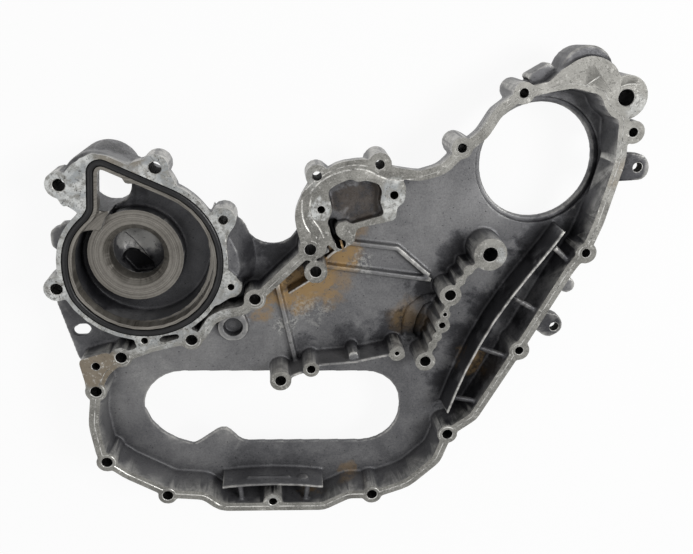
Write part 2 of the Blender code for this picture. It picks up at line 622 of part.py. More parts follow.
def build_baffles(shop):
    """The long chain baffle and the short sump baffle, each with its cast pins."""
    root = ROOT - UNDERSIDE
    chain = [
        (177.6, 52.5), (168.2, 38.0), (152.0, 16.0), (138.0, -4.0), (124.5, -26.0), (113.8, -47.0),
        (103.5, -70.0), (95.8, -91.0), (89.0, -112.0),
    ]
    shop.slab("chain_baffle", [strip(chain, BAFFLE_THICKNESS)], root, -BAFFLE_TOP_DEPTH, BAFFLE_DRAFT)
    sump = [(-110.5, -176.2), (-88, -175.2), (-66, -175.6), (-43, -177.8), (-20.4, -181.6)]
    shop.slab("sump_baffle", [strip(sump, BAFFLE_THICKNESS)], root, -BAFFLE_TOP_DEPTH, BAFFLE_DRAFT)
    for index, (start, end) in enumerate(BAFFLE_PINS):
        shop.pin(f"baffle_pin_{index}", (*start, -PIN_DEPTH), (*end, -PIN_DEPTH), PIN_RADIUS)
    shop.pin("mould_bar", (-88.0, -173.7, -MARK_DEPTH), (-50.0, -175.4, -MARK_DEPTH), 1.0)
    shop.pin("mould_disc", (-38.6, -178.6, -MARK_DEPTH), (-38.5, -175.9, -MARK_DEPTH), 4.6, BOSS_SIDES)


def build_pocket_body(shop):
    """The breather pocket's walls, flush with the face, and the wedge that joins them to the strip."""
    body = [
        (-37, 61, 8), (-35, 90, 14), (-14, 105, 12), (8, 110, 10), (25, 108, 6), (41, 102, 6), (46.5, 92, 6),
        (45.2, 80, 6), (39.5, 76.5, 4), (39, 66.5, 4), (31, 64.6, 3), (7.5, 60.2, 5), (6.5, 49, 4),
        (-7.6, 40.6, 3), (-15.5, 48.8, 1), (-15.8, 41.5, 4), (-20.5, 36.5, 4), (-28, 38, 0), (-30, 56, 0),
    ]
    shop.slab("pocket_body", [rounded(body)], ROOT - UNDERSIDE, FACE_ALLOWANCE)
    wedge = [(-28, 30, 0), (-12, 38, 0), (-14, 43, 0), (-31, 38, 0)]
    shop.slab("bolt_wedge", [rounded(wedge)], ROOT - UNDERSIDE, -WEDGE_DEPTH, 0.5)


def drill(shop, name, x, y, radius, bottom, sides=HOLE_SIDES):
    """A drilled hole that breaks out above the face."""
    shop.post(name, x, y, radius, bottom, CUTTER_MARGIN, 0, sides)


def build_faces(shop):
    """The milled faces, the seal's groove, the lip and the machined bore of the pump bay."""
    reach = 300.0
    square = [Vector((x * reach, y * reach)) for x, y in ((-1, -1), (1, -1), (1, 1), (-1, 1))]
    shop.slab("face_mill", [square], 0.0, FACE_ALLOWANCE * 4)
    shop.slab("base_mill", [square], -BASE_DEPTH - FACE_ALLOWANCE * 4, -BASE_DEPTH)
    path = seal_path()
    half = SEAL_GROOVE_WIDTH / 2
    shop.slab("seal_groove", [offset(path, half), offset(path, -half)], -SEAL_GROOVE_DEPTH, ROOT)
    inside = -half - LIP_WIDTH - ROOT
    shop.slab("lip_cut", [offset(path, 0.0), offset(path, inside)], -LIP_DEPTH, ROOT * 1.1)
    eye_top = -RING_DEPTH + ROOT
    eye = [
        (0, eye_top), (EYE_MOUTH_RADIUS, eye_top), (EYE_RADIUS, -RING_DEPTH - EYE_CHAMFER_DEPTH),
        (EYE_RADIUS, -DUCT_DEPTH + DUCT_HALF_HEIGHT), (EYE_RADIUS * 0.96, -DUCT_DEPTH),
        (EYE_RADIUS * 0.8, -BOWL_DEPTH + 5), (EYE_RADIUS * 0.45, -BOWL_DEPTH + ROOT), (0, -BOWL_DEPTH),
    ]
    shop.turned("eye_bore", *RING_CENTRE, eye, WIDE_SIDES + 8)
    mouth = (*RING_CENTRE, -DUCT_DEPTH)
    shop.duct("suction_bore", mouth, DUCT_LENGTH + CUTTER_MARGIN, DUCT_HALF_WIDTH, DUCT_HALF_HEIGHT)


def build_openings(shop):
    """The round opening, the oval opening, the breather pocket and the other cut-outs."""
    low = -BASE_DEPTH - CUTTER_MARGIN
    over_floor = -FLOOR_DEPTH + CUTTER_MARGIN
    shop.post("wheel_hole", *WHEEL_HOLE_CENTRE, WHEEL_HOLE_RADIUS, low, over_floor, 0, ROUND_SIDES)
    recess = (WHEEL_RECESS_RADIUS, -FLOOR_DEPTH - WHEEL_RECESS_DEPTH, over_floor - ROOT)
    shop.post("wheel_recess", *WHEEL_HOLE_CENTRE, *recess, 0, ROUND_SIDES)
    oval = [
        (-176.2, -70.7, 36), (-174.6, -147.0, 32), (-134.0, -146.4, 14), (-107.1, -128.5, 9),
        (-92.0, -146.3, 12), (50.2, -154.0, 36), (50.8, -81.8, 33),
    ]
    shop.slab("oval_opening", [rounded(oval)], low, over_floor + ROOT)
    pocket = [
        (-14.2, 90.7, 4), (-6.5, 95.4, 6), (3.3, 99.2, 4), (8.8, 96.6, 3), (15, 97.8, 4), (24.8, 94.9, 4),
        (27.5, 89.0, 3), (26.0, 80.5, 3), (29.6, 70.7, 2.5), (4.3, 64.1, 2), (-0.5, 66.6, 4), (-7.5, 64.5, 4),
        (-14.0, 61.0, 3), (-14.5, 66.0, 4), (-10.5, 75, 6),
    ]
    shop.slab("pocket_cut", [rounded(pocket)], -POCKET_DEPTH, ROOT, -0.5)
    gap = [
        (-14.0, 66.0, 2), (-5.0, 66.6, 2), (-9.0, 60.5, 4), (-7.4, 54.8, 4), (-3.4, 51.4, 2), (-6.4, 46.2, 2),
        (-10.2, 49.6, 4), (-12.6, 57.0, 6),
    ]
    shop.slab("pocket_gap", [rounded(gap)], -POCKET_GAP_DEPTH, ROOT)
    slot = [
        (-154, -30.2, 2), (-148.5, -25.6, 2), (-136.3, -24.2, 1.6), (-134.8, -28.2, 1.6), (-147, -31.4, 2),
    ]
    shop.slab("pump_slot", [rounded(slot)], -DECK_DEPTH, ROOT)
    shop.post("plug_bore", -93.3, -26.0, PLUG_RADIUS, -UNDERSIDE, over_floor + ROOT * 2, 0, WIDE_SIDES)
    deck_slot = [(-221.4, -21.8, 4.2), (-209.6, -21.8, 4.2), (-209.6, -30.4, 4.2), (-221.4, -30.4, 4.2)]
    shop.slab("deck_slot", [rounded(deck_slot)], -DECK_DEPTH - DECK_WALL * 2, -DECK_DEPTH + CUTTER_MARGIN)


def build_drillings(shop):
    """Every bolt hole, tapped hole and small hole."""
    low = -BASE_DEPTH - CUTTER_MARGIN
    for index, (x, y, hole, radius) in enumerate(FLANGE_BOLTS + PUMP_BOLTS):
        bottom = low if hole > M6_TAPPED else -TAPPED_DEPTH
        drill(shop, f"bolt_hole_{index}", x, y, hole / 2, bottom)
    for index, (x, y, hole, radius, top, through) in enumerate(INNER_BOSSES):
        drill(shop, f"inner_hole_{index}", x, y, hole / 2, low if through else -BLIND_DEPTH)
    for name, x, y, radius, depth in SMALL_HOLES:
        drill(shop, name, x, y, radius, -depth)
    drill(shop, "corner_hole", CORNER_BOSS[0], CORNER_BOSS[1], CORNER_HOLE_RADIUS, low, HOLE_SIDES + 2)
    for index, (x, y) in enumerate(LUG_HOLES):
        drill(shop, f"lug_hole_{index}", x, y, LUG_HOLE_RADIUS, low)


def build_seal(datum, parts):
    """The rubber seal in its groove, with a rounded crown that stands just proud of the face."""
    shop = Shop(parts, datum)
    path = seal_path()
    half = SEAL_GROOVE_WIDTH / 2 - SEAL_GAP
    loops = [offset(path, half), offset(path, -half)]
    seal = shop.slab("pump_seal", loops, -SEAL_GROOVE_DEPTH + SEAL_GAP, SEAL_STAND)
    form = bmesh.new()
    form.from_mesh(seal.data)
    top = max(v.co.z for v in form.verts)
    crown = [
        e for e in form.edges
        if all(abs(v.co.z - top) < 1e-7 for v in e.verts) and any(abs(f.normal.z) < 0.5 for f in e.link_faces)
    ]
    bmesh.ops.bevel(form, geom=crown, offset=SEAL_CROWN * MM, segments=2, profile=0.5, affect="EDGES")
    form.to_mesh(seal.data)
    form.free()
    return seal


def main():
    fresh_scene()
    parts = new_collection("timing_cover")
    blanks = new_collection("cast_blanks", True)
    cores = new_collection("cores", True)
    inner = new_collection("inner_forms", True)
    machining = new_collection("machining", True)
    datum = bpy.data.objects.new("cover_datum", None)
    datum.location = (DATUM_X * MM, DATUM_Y * MM, BASE_DEPTH * MM)
    parts.objects.link(datum)

    casting = build_wall(datum, parts)
    steps = [
        (blanks, "UNION", [build_pump_blanks, build_decks, build_lugs]),
        (cores, "DIFFERENCE", [build_cores]),
        (inner, "UNION", [build_bosses, build_webs, build_baffles, build_pocket_body]),
        (machining, "DIFFERENCE", [build_faces, build_openings, build_drillings]),
    ]
    for collection, operation, builders in steps:
        shop = Shop(collection, datum)
        for builder in builders:
            builder(shop)
        combine(casting, collection.name, collection, operation)
    casting.data.materials.append(material("cast_aluminium", (0.27, 0.27, 0.28), 0.5, 0.85))

    seal = build_seal(datum, parts)
    seal.data.materials.append(material("black_rubber", (0.02, 0.02, 0.022), 0.55, 0.0))
    seal.data.shade_smooth()
    seal.data.set_sharp_from_angle(angle=math.radians(50))


main()
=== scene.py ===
import json

import bmesh
import bpy
import numpy as np
from mathutils import Matrix

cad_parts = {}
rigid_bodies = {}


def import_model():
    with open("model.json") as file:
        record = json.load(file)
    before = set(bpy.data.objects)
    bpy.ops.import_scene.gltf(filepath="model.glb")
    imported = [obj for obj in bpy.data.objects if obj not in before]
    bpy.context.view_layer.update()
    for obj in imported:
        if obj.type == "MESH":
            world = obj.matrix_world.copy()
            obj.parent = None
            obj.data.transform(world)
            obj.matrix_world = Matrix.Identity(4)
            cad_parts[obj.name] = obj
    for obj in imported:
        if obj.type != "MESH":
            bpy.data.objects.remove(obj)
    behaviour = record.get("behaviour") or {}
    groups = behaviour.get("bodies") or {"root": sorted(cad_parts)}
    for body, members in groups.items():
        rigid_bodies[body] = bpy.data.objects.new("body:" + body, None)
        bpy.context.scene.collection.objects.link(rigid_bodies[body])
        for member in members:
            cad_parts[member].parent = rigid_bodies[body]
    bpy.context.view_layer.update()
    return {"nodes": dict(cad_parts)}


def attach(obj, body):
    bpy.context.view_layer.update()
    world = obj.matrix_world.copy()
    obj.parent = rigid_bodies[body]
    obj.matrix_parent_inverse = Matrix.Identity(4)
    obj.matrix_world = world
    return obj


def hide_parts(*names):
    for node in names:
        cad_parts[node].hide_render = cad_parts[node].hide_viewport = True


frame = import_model()
mm = 0.001

# Where the plan's zero point lies on the gasket face, in millimetres of the frame.
plan = {"x": -5.3, "y": 4.3, "face": 66.0}

camera = {
    "place": (-55.3, 225.8, 603.3),
    "right": (0.995701, 0.0, 0.092626),
    "up": (0.032417, 0.936756, -0.348478),
    "back": (-0.086768, 0.349983, 0.932729),
    "focalPixels": 720.0,
    "framePixels": 693.0,
}

skin = {
    "voxel": 0.9,          # size of the cells that round the cast edges
    "lift": 3.0,           # how far the faces stand proud before they are milled
    "liftFrom": -1.05,     # tops above this depth are lifted
    "ringLift": 1.2,
    "smoothSteps": 5,
    "smoothShare": 0.5,
    "triangles": 160000,
    "holeSides": 32,
    "chamfer": 0.5,
    "clear": 0.12,
}

# Drilled holes: X, Y, diameter, depth of the mouth, how deep, tapped or not
drills = [
    (-206.5, -73.7, 9.0, 0, 80, 0), (-183.2, -43.7, 9.0, 0, 80, 0), (-126.0, -30.4, 9.0, 0, 80, 0),
    (-73.5, 3.1, 9.0, 0, 80, 0), (-28.5, 43.6, 9.0, 0, 80, 0), (-22.3, 102.1, 7.0, 0, 80, 0),
    (25.6, 110.0, 7.0, 0, 80, 0), (88.7, 121.4, 7.0, 0, 80, 0), (133.6, 161.8, 7.0, 0, 80, 0),
    (222.9, 131.4, 7.0, 0, 80, 0), (196.7, 33.7, 7.0, 0, 80, 0), (148.1, -52.4, 7.0, 0, 80, 0),
    (89.6, -131.9, 9.0, 0, 80, 0), (23.2, -191.2, 9.0, 0, 80, 0), (-66.2, -192.7, 7.0, 0, 80, 0),
    (-157.6, -179.8, 9.0, 0, 80, 0), (-205.5, -142.3, 9.0, 0, 80, 0),
    (-213.0, 99.3, 9.0, 0, 80, 0), (-142.3, 110.9, 9.0, 0, 80, 0), (-94.7, 69.5, 7.0, 0, 80, 0),
    (-91.9, 14.4, 5.2, 0, 18, 1), (-225.7, 17.4, 9.0, 0, 80, 0), (-163.3, -29.5, 5.2, 0, 18, 1),
    (-24.4, 24.6, 9.0, -1.0, 80, 0), (117.0, 34.8, 12.0, -0.6, 80, 0), (85.8, 0.4, 9.0, -0.6, 80, 0),
    (80.2, -26.4, 5.2, -0.6, 16, 1), (67.2, -59.2, 9.0, -0.6, 80, 0), (42.8, -51.0, 3.6, -1.0, 16, 1),
    (-29.6, -62.2, 7.0, -0.6, 16, 1), (-55.4, -71.6, 9.0, -0.6, 80, 0),
    (213.5, 157.8, 12.4, 0, 80, 0), (-203.9, -50.6, 6.4, 0, 16, 0), (-19.6, 75.8, 5.6, 0, 16, 1),
    (37.2, 85.9, 6.4, 0, 16, 1), (-4.4, 47.4, 7.8, 0, 24, 0), (82.2, -16.6, 3.2, -0.6, 12, 1),
    (235.3, 101.8, 7.6, -10, 80, 0), (180.6, -35.8, 7.6, -10, 80, 0),
]

# Holes deeper than "through" go right through and past the underside; pitch and thread are a tapped hole's
drilling = {"through": 60, "past": 3, "top": 9.0, "pitch": 0.9, "thread": 0.28, "unthreaded": 2}

# Tops milled below the gasket face: depth and outline
spotFaces = [
    (-0.6, [(98, 54), (136, 54), (136, 20), (106, -4), (96, -34), (80, -74), (54, -74), (54, -44), (70, -36),
            (70, -10), (72, 14), (92, 40)]),
    (-0.6, [(-70, -86), (-42, -86), (-18, -72), (-18, -52), (-38, -52), (-70, -60)]),
    (-1.0, [(34, -60), (51, -60), (51.5, -51), (51, -42), (34, -42)]),
    (-1.0, [(-34.0, 24.6), (-31.2, 17.8), (-24.4, 15.0), (-17.6, 17.8), (-14.8, 24.6), (-17.6, 31.4),
            (-20.5, 33.4), (-24.4, 34.2), (-28.3, 33.4), (-31.2, 31.4)]),
]

# The machined ring in the pump bay, with the eye that opens into the suction bowl
ring = {"x": -167.3, "y": 35.8, "radius": 37.8, "depth": 22.0, "eye": 21.3, "mouth": 26.0, "chamfer": 5.0,
        "eyeEnd": -40.0}

# The round opening and the recess round it
wheelHole = {"x": 158.8, "y": 104.4, "radius": 47.3, "recess": 51.4, "recessDepth": 3.0, "floor": 28.0}

# The middle line of the gasket flange, clockwise from the lower left: X, Y and corner radius
flangePath = [
    (-207.0, -73.0, 12), (-198.0, -56.0, 14), (-183.0, -43.7, 12), (-159.0, -35.6, 20), (-136.7, -30.8, 12),
    (-120.0, -30.0, 6), (-108.5, -13.0, 7), (-98.5, -8.3, 8), (-83.0, -6.0, 8), (-30.5, 42.5, 12),
    (-37.5, 72.0, 24), (-26.4, 94.5, 20), (-6.0, 108.5, 24), (13.0, 111.0, 22), (36.0, 104.0, 20),
    (57.0, 100.5, 22), (75.0, 105.5, 18), (88.0, 118.5, 16), (105.0, 132.0, 20), (115.0, 148.5, 16),
    (133.0, 162.0, 24), (155.0, 166.8, 24), (172.0, 169.5, 20), (196.5, 163.5, 10), (202.0, 152.0, 9),
    (214.5, 143.0, 9), (216.0, 110.0, 30), (204.5, 59.0, 40), (197.0, 37.5, 14), (185.0, 20.5, 14),
    (147.5, -51.0, 30), (112.0, -115.5, 14), (90.5, -130.5, 14), (81.0, -158.0, 18), (55.0, -181.5, 30),
    (24.0, -191.5, 20), (2.0, -190.0, 14), (-21.0, -201.0, 14), (-112.0, -195.5, 16), (-126.0, -182.5, 14),
    (-155.0, -178.5, 20), (-190.0, -156.0, 30), (-209.0, -139.0, 18), (-212.5, -105.0, 40),
]

# The shoulder along the inner edge of the gasket face: it stops at the wall of each bolt wider than "boltOver", and
# the face stays plain in the boxes along the neck
shoulder = {
    "from": -0.9, "to": -9.0, "depth": 0.5, "bevel": 0.55, "top": 6.0, "boltOver": 6.5, "boltWall": 2.3,
    "plain": [(-50, 84), (-30, 100), (0, 106), (30, 92)], "plainSide": 22, "plainBelow": 34, "plainAbove": 20,
}

# Fine lines that the joint faces of the mould and the old gasket left: half width, depth and points
faceLines = [
    (0.55, 0.35, [(-33.9, 83.9), (-34.7, 76.0), (-33.3, 66.4), (-29.3, 58.3), (-23.1, 53.2)]),
    (0.60, 0.40, [(-28.0, 88.5), (-24.8, 93.9), (-17.2, 99.9), (-8.0, 104.3), (2.7, 106.7), (10.3, 107.5),
                  (17.9, 105.6), (24.1, 101.7), (31.9, 98.4), (42.8, 97.5), (55.2, 98.8), (66.2, 100.6)]),
    (0.45, 0.30, [(-31.7, 91.7), (-26.3, 97.0), (-18.6, 102.2), (-10.3, 106.7), (-1.1, 109.5), (8.7, 110.6),
                  (16.0, 109.2)]),
    (0.60, 0.45, [(-26.5, 86.9), (-28.9, 79.1), (-27.5, 69.5), (-20.7, 61.3), (-17.7, 53.0)]),
    (0.50, 0.35, [(-93.7, 57.9), (-93.7, 46.7), (-92.5, 36.7), (-90.6, 29.4), (-85.5, 24.4)]),
    (0.45, 0.30, [(190.5, 173.8), (181.9, 168.1), (174.8, 162.3)]),
    (0.45, 0.30, [(207.9, 165.7), (212.9, 168.9), (219.4, 167.7)]),
]


def say(words):
    print("scene:", words, flush=True)


# Plan millimetres to metres of the frame
def world(x, y, z):
    place = [np.asarray(x) + plan["x"], np.asarray(y) + plan["y"], np.asarray(z) + plan["face"]]
    return np.stack(place, -1) * mm


def makeMesh(name, points, faces):
    mesh = bpy.data.meshes.new(name)
    mesh.from_pydata(points.reshape(-1, 3).tolist(), [], faces)
    mesh.update()
    return mesh


# Each (radius, height) of the profile carried round the upright axis at X, Y, closed by a flat cap at each end
def turned(name, x, y, profile, sides):
    radius, height = np.array(profile, float).T
    angle = np.linspace(0, 2 * np.pi, sides, endpoint=False)
    px = x + radius[:, None] * np.cos(angle)[None]
    py = y + radius[:, None] * np.sin(angle)[None]
    pz = np.repeat(height[:, None], sides, 1)
    points = world(px, py, pz)
    rows, turn = np.meshgrid(np.arange(len(radius) - 1), np.arange(sides), indexing="ij")
    after = (turn + 1) % sides
    here, ahead = rows * sides, (rows + 1) * sides
    quads = np.stack([here + turn, ahead + turn, ahead + after, here + after], -1)
    faces = quads.reshape(-1, 4).tolist()
    faces.append(list(range(sides)))
    faces.append([(len(radius) - 1) * sides + k for k in reversed(range(sides))])
    return makeMesh(name, points, faces)


# A flat outline raised from low to high, where it may end as another outline with as many points
def prism(name, outline, low, high, top=None):
    outline = np.array(outline, float)
    top = outline if top is None else np.array(top, float)
    count = len(outline)
    area = np.sum(outline[:, 0] * np.roll(outline[:, 1], -1) - np.roll(outline[:, 0], -1) * outline[:, 1])
    if area < 0:
        outline, top = outline[::-1], top[::-1]
    points = np.concatenate([world(*outline.T, np.full(count, low)), world(*top.T, np.full(count, high))])
    here = np.arange(count)
    after = (here + 1) % count
    sidesOf = np.stack([here, after, after + count, here + count], -1).tolist()
    return makeMesh(name, points, sidesOf + [list(range(count))[::-1], list(range(count, 2 * count))])


# A closed line of corners (X, Y, radius), each corner turned into an arc that touches its two sides
def fillet(corners, step=0.12):
    line = []
    count = len(corners)
    for index, (x, y, radius) in enumerate(corners):
        here = np.array((x, y), float)
        back = np.array(corners[index - 1][:2]) - here
        ahead = np.array(corners[(index + 1) % count][:2]) - here
        backLength, aheadLength = np.linalg.norm(back), np.linalg.norm(ahead)
        back, ahead = back / backLength, ahead / aheadLength
        turn = np.pi - np.arccos(np.clip(back @ ahead, -1, 1))
        reach = min(radius * np.tan(turn / 2), 0.49 * min(backLength, aheadLength))
        if reach < 0.05:
            line.append(here[None])
            continue
        radius = reach / np.tan(turn / 2)
        inward = (back + ahead) / np.linalg.norm(back + ahead)
        centre = here + inward * np.hypot(radius, reach)
        start, end = here + back * reach - centre, here + ahead * reach - centre
        swing = np.arctan2(start[0] * end[1] - start[1] * end[0], start @ end)
        steps = max(2, int(np.ceil(abs(swing) / step)) + 1)
        angles = np.arctan2(start[1], start[0]) + swing * np.linspace(0, 1, steps)
        line.append(centre + radius * np.stack([np.cos(angles), np.sin(angles)], -1))
    return np.concatenate(line)


# The closed line's points set out again at an even gap
def evenLine(line, gap):
    closed = np.concatenate([line, line[:1]])
    along = np.concatenate([[0], np.cumsum(np.linalg.norm(np.diff(closed, axis=0), axis=1))])
    spots = np.linspace(0, along[-1], int(along[-1] / gap), endpoint=False)
    return np.stack([np.interp(spots, along, closed[:, k]) for k in (0, 1)], -1)


# The closed profile of (sideways, height) pairs carried along the line, square to it; an open line gets end caps
def swept(name, line, profile, closed=True):
    ahead = np.roll(line, -1, 0) - np.roll(line, 1, 0) if closed else np.gradient(line, axis=0)
    ahead /= np.linalg.norm(ahead, axis=1)[:, None]
    side = np.stack([ahead[:, 1], -ahead[:, 0]], -1)
    out, height = np.array(profile, float).T
    flat = line[:, None, :] + side[:, None, :] * out[None, :, None]
    points = world(flat[..., 0], flat[..., 1], np.repeat(height[None], len(line), 0))
    rows, cols = len(line), len(out)
    row, col = np.meshgrid(np.arange(rows if closed else rows - 1), np.arange(cols), indexing="ij")
    nextRow, nextCol = (row + 1) % rows, (col + 1) % cols
    here, after = row * cols, nextRow * cols
    quads = np.stack([here + col, after + col, after + nextCol, here + nextCol], -1)
    ends = [] if closed else [list(range(cols)), [(rows - 1) * cols + k for k in reversed(range(cols))]]
    return makeMesh(name, points, quads.reshape(-1, 4).tolist() + ends)


def addObject(name, mesh, collection=None):
    obj = bpy.data.objects.new(name, mesh)
    (collection or bpy.context.scene.collection).objects.link(obj)
    return obj


# The object's mesh with its modifiers applied
def settled(obj):
    bpy.context.view_layer.update()
    graph = bpy.context.evaluated_depsgraph_get()
    mesh = bpy.data.meshes.new_from_object(obj.evaluated_get(graph))
    obj.modifiers.clear()
    obj.data = mesh
    return obj


# One kind of value of a mesh's points, edges or faces, with so many numbers in each row
def values(items, key, width, kind=np.float32):
    flat = np.empty(len(items) * width, kind)
    items.foreach_get(key, flat)
    return flat.reshape(-1, width)


# The mesh with all faces pointing outwards
def pointUp(mesh):
    form = bmesh.new()
    form.from_mesh(mesh)
    bmesh.ops.recalc_face_normals(form, faces=form.faces)
    form.to_mesh(mesh)
    form.free()
    return mesh


seal = {
    "centre": (-159.7, 37.9),
    "radius": 60.7,
    "corners": [(-188.5, 119.5, 8.0), (-192.9, 79.5, 12.0)],
    "from": 137.0,
    "to": 426.0,
    # Beside the outlet the line runs inside its circle: degrees and distance from the centre
    "inset": [(137, 51.9), (143, 52.7), (156, 54.8), (164, 55.8), (171, 56.4), (183, 57.4), (195, 59.0),
              (208, 60.7)],
    "groove": 5.4,
    "grooveDepth": 3.6,
    "lip": 2.4,
    "lipDepth": 0.8,
    "gap": 0.45,
    "stand": 0.7,
    "crown": 1.6,
    "bevel": 0.3,
    # The wall and ledge below the groove, for the turned finish
    "wallFrom": -12.3,
    "ledge": -12.05,
}


def sealLine():
    angle = np.linspace(seal["from"], seal["to"], 97)
    radius = np.interp(angle, *np.array(seal["inset"]).T)
    angle = np.radians(angle)
    arc = np.array(seal["centre"]) + radius[:, None] * np.stack([np.cos(angle), np.sin(angle)], -1)
    corners = [(x, y, 0) for x, y in arc.tolist()] + seal["corners"]
    return evenLine(fillet(corners), 1.2)


# The part of the line from its point nearest to one place to its point nearest to another
def stretch(line, start, end):
    first, last = (int(np.argmin(np.hypot(*(line - np.array(place)).T))) for place in (start, end))
    return line[first:last + 1] if first < last else np.concatenate([line[first:], line[:last + 1]])


def circle(x, y, radius, sides=40):
    angle = np.linspace(0, 2 * np.pi, sides, endpoint=False)
    return np.stack([x + radius * np.cos(angle), y + radius * np.sin(angle)], -1)


def box(left, right, low, high):
    return [(left, low), (right, low), (right, high), (left, high)]


# The object joined with the given meshes, or less them, all in one step
def combined(obj, meshes, operation):
    tools = bpy.data.collections.new("tools")
    bpy.context.scene.collection.children.link(tools)
    for mesh in meshes:
        addObject(mesh.name, pointUp(mesh), tools)
    step = obj.modifiers.new("combined", "BOOLEAN")
    step.operand_type = "COLLECTION"
    step.collection = tools
    step.operation = operation
    step.solver = "MANIFOLD"
    settled(obj)
    for tool in list(tools.objects):
        bpy.data.objects.remove(tool)
    bpy.data.collections.remove(tools)
    return obj


# The mesh less the other meshes
def less(mesh, others):
    obj = addObject(mesh.name, pointUp(mesh))
    combined(obj, others, "DIFFERENCE")
    rest = obj.data
    bpy.data.objects.remove(obj)
    return rest


# A bar with one row of points along each of its edges; the order goes round its section, and both ends are closed
def bar(name, rows, order):
    count = len(rows[0])
    here = np.arange(count - 1)
    faces = []
    for a, b in zip(order, order[1:] + order[:1]):
        quads = np.stack([a * count + here, b * count + here, b * count + here + 1, a * count + here + 1], -1)
        faces += quads.tolist()
    faces += [[k * count for k in order], [k * count + count - 1 for k in reversed(order)]]
    return makeMesh(name, np.concatenate(rows), faces)


# A V-shaped blade along an open line that is smoothed first: its left, right and low edges
def scriber(name, line, half, depth):
    line = np.array(line, float)
    along = np.concatenate([[0], np.cumsum(np.linalg.norm(np.diff(line, axis=0), axis=1))])
    spots = np.linspace(0, along[-1], max(3, int(along[-1] / 2.0)))
    smooth = np.stack([np.interp(spots, along, line[:, k]) for k in (0, 1)], -1)
    for step in range(6):
        smooth[1:-1] = (smooth[:-2] + 2 * smooth[1:-1] + smooth[2:]) / 4
    ahead = np.gradient(smooth, axis=0)
    ahead /= np.linalg.norm(ahead, axis=1)[:, None]
    side = np.stack([ahead[:, 1], -ahead[:, 0]], -1)
    rise = 2.0
    wide = half * (depth + rise) / depth
    edges = ((smooth - side * wide, rise), (smooth + side * wide, rise), (smooth, -depth))
    return bar(name, [world(*edge.T, np.full(len(smooth), height)) for edge, height in edges], (0, 1, 2))


# The band just inside the flange's middle line, with a bevelled outer edge, less a collar round each bolt and the
# plain boxes along the neck
def shoulderTool():
    line = evenLine(fillet(flangePath), 1.5)
    start, end, deep, bevel = shoulder["from"], shoulder["to"], -shoulder["depth"], shoulder["bevel"]
    slope = bevel / shoulder["depth"]
    top = shoulder["top"]
    profile = [(start + bevel + top * slope, top), (start, deep), (end, deep), (end, top)]
    spared = []
    for index, (x, y, size, mouth, depth, tapped) in enumerate(drills):
        if mouth == 0 and size > shoulder["boltOver"]:
            wall = size / 2 + shoulder["boltWall"]
            bevelled = [(wall, 9.0), (wall, 0.0), (wall + bevel, deep), (wall + bevel, deep - 2.0)]
            spared.append(turned(f"collar{index}", x, y, bevelled, 40))
    side = shoulder["plainSide"]
    for index, (x, y) in enumerate(shoulder["plain"]):
        plain = box(x - side, x + side, y - shoulder["plainBelow"], y + shoulder["plainAbove"])
        spared.append(prism(f"keep{index}", plain, -3.0, 9.0))
    return less(swept("shoulderTool", line, [(-out, height) for out, height in profile]), spared)


# Where the wall leans in under the flange: the flange's thickness, the lean from its edge down to "leanEnd", and the
# bosses that stay whole (X, Y, radius, low end)
underFlange = {
    "thick": 9.0, "edge": -3.3, "lean": 5.7, "leanEnd": -34.0, "low": -50.0, "reach": 15.0,
    "from": (-38, 66), "to": (134.5, 162.5),
    "bosses": [(-22.3, 102.1, 9.8, -21), (25.6, 110.0, 10.2, -28), (88.7, 121.4, 9.4, -34),
               (133.6, 161.8, 9.4, -50)],
}

# The same round the pump: right of the outlet, and on the left between the corner and the lower bolt
underPump = {
    "thick": 8.0, "land": 6.2, "lean": 7.7, "leanEnd": -40.0, "low": -50.0, "reach": 16.0, "top": 6.0,
    "right": [(-106.1, 66.4), (-151.0, 101.0)], "left": [(-198.5, 75.0), (-215.5, 19.0)],
    "bosses": [(-142.3, 110.9, 10.9, -50), (-94.7, 69.5, 10.5, -50), (-225.7, 17.4, 10.7, -50)],
    "kept": [([(-152, 118), (-133, 114), (-130.5, 104), (-127.5, 97), (-140, 92), (-160, 100)], -14.0, 9.0),
             ([(-232, 65), (-212, 66), (-212, 40), (-232, 40)], -26.2, -14.8)],
}

# Cast forms that are joined on: name, corners with radius, low and high
castForms = [
    ("tongue", [(-199, 84, 0), (-184, 84, 0), (-181.3, 75.2, 0), (-186.0, 68.5, 2), (-190.0, 59.0, 0),
                (-197.0, 60.5, 2), (-207.0, 58.5, 2), (-212, 66, 0)], -37.0, -12.05),
    ("pipeSide", [(-212, 92, 20), (-187, 67, 20), (-162, 92, 20), (-187, 118, 20)], -59.5, -38.0),
    ("ductFloor", [(-191, 16, 5), (-189, 33, 6), (-174, 35, 6), (-156, 24, 5), (-154, 4, 5), (-182, 2, 5)],
     -65.9, -61.0),
    ("ovalCorner", [(-180, -104, 0), (-174.5, -108, 10), (-170, -121, 12), (-161, -132.5, 14), (-149, -141, 14),
                    (-134, -147, 10), (-134, -152, 0), (-180, -152, 0)], -31.9, -28.05),
]

# Hollows that are taken out: name, corners with radius, low and high
castHollows = [
    ("deckSlot", [(-223.4, -23.1, 4.4), (-210.5, -23.7, 4.4), (-211.5, -32.3, 4.4), (-224.2, -31.6, 4.4)],
     -34.0, -17.0),
    ("plugRest", [(-106, -18.4, 0), (-80, -18.4, 0), (-80, -15.0, 0), (-106, -15.0, 0)], -27.9, -22.0),
    ("ductMouth", [(-186.0, 21, 3), (-184.5, 27.5, 4), (-179.5, 30.6, 4), (-174.0, 29.2, 4), (-169.5, 25.6, 5),
                   (-160.5, 17.0, 3), (-160.0, 10.0, 3), (-176.0, 8.0, 3)], -64.4, -47.0),
]

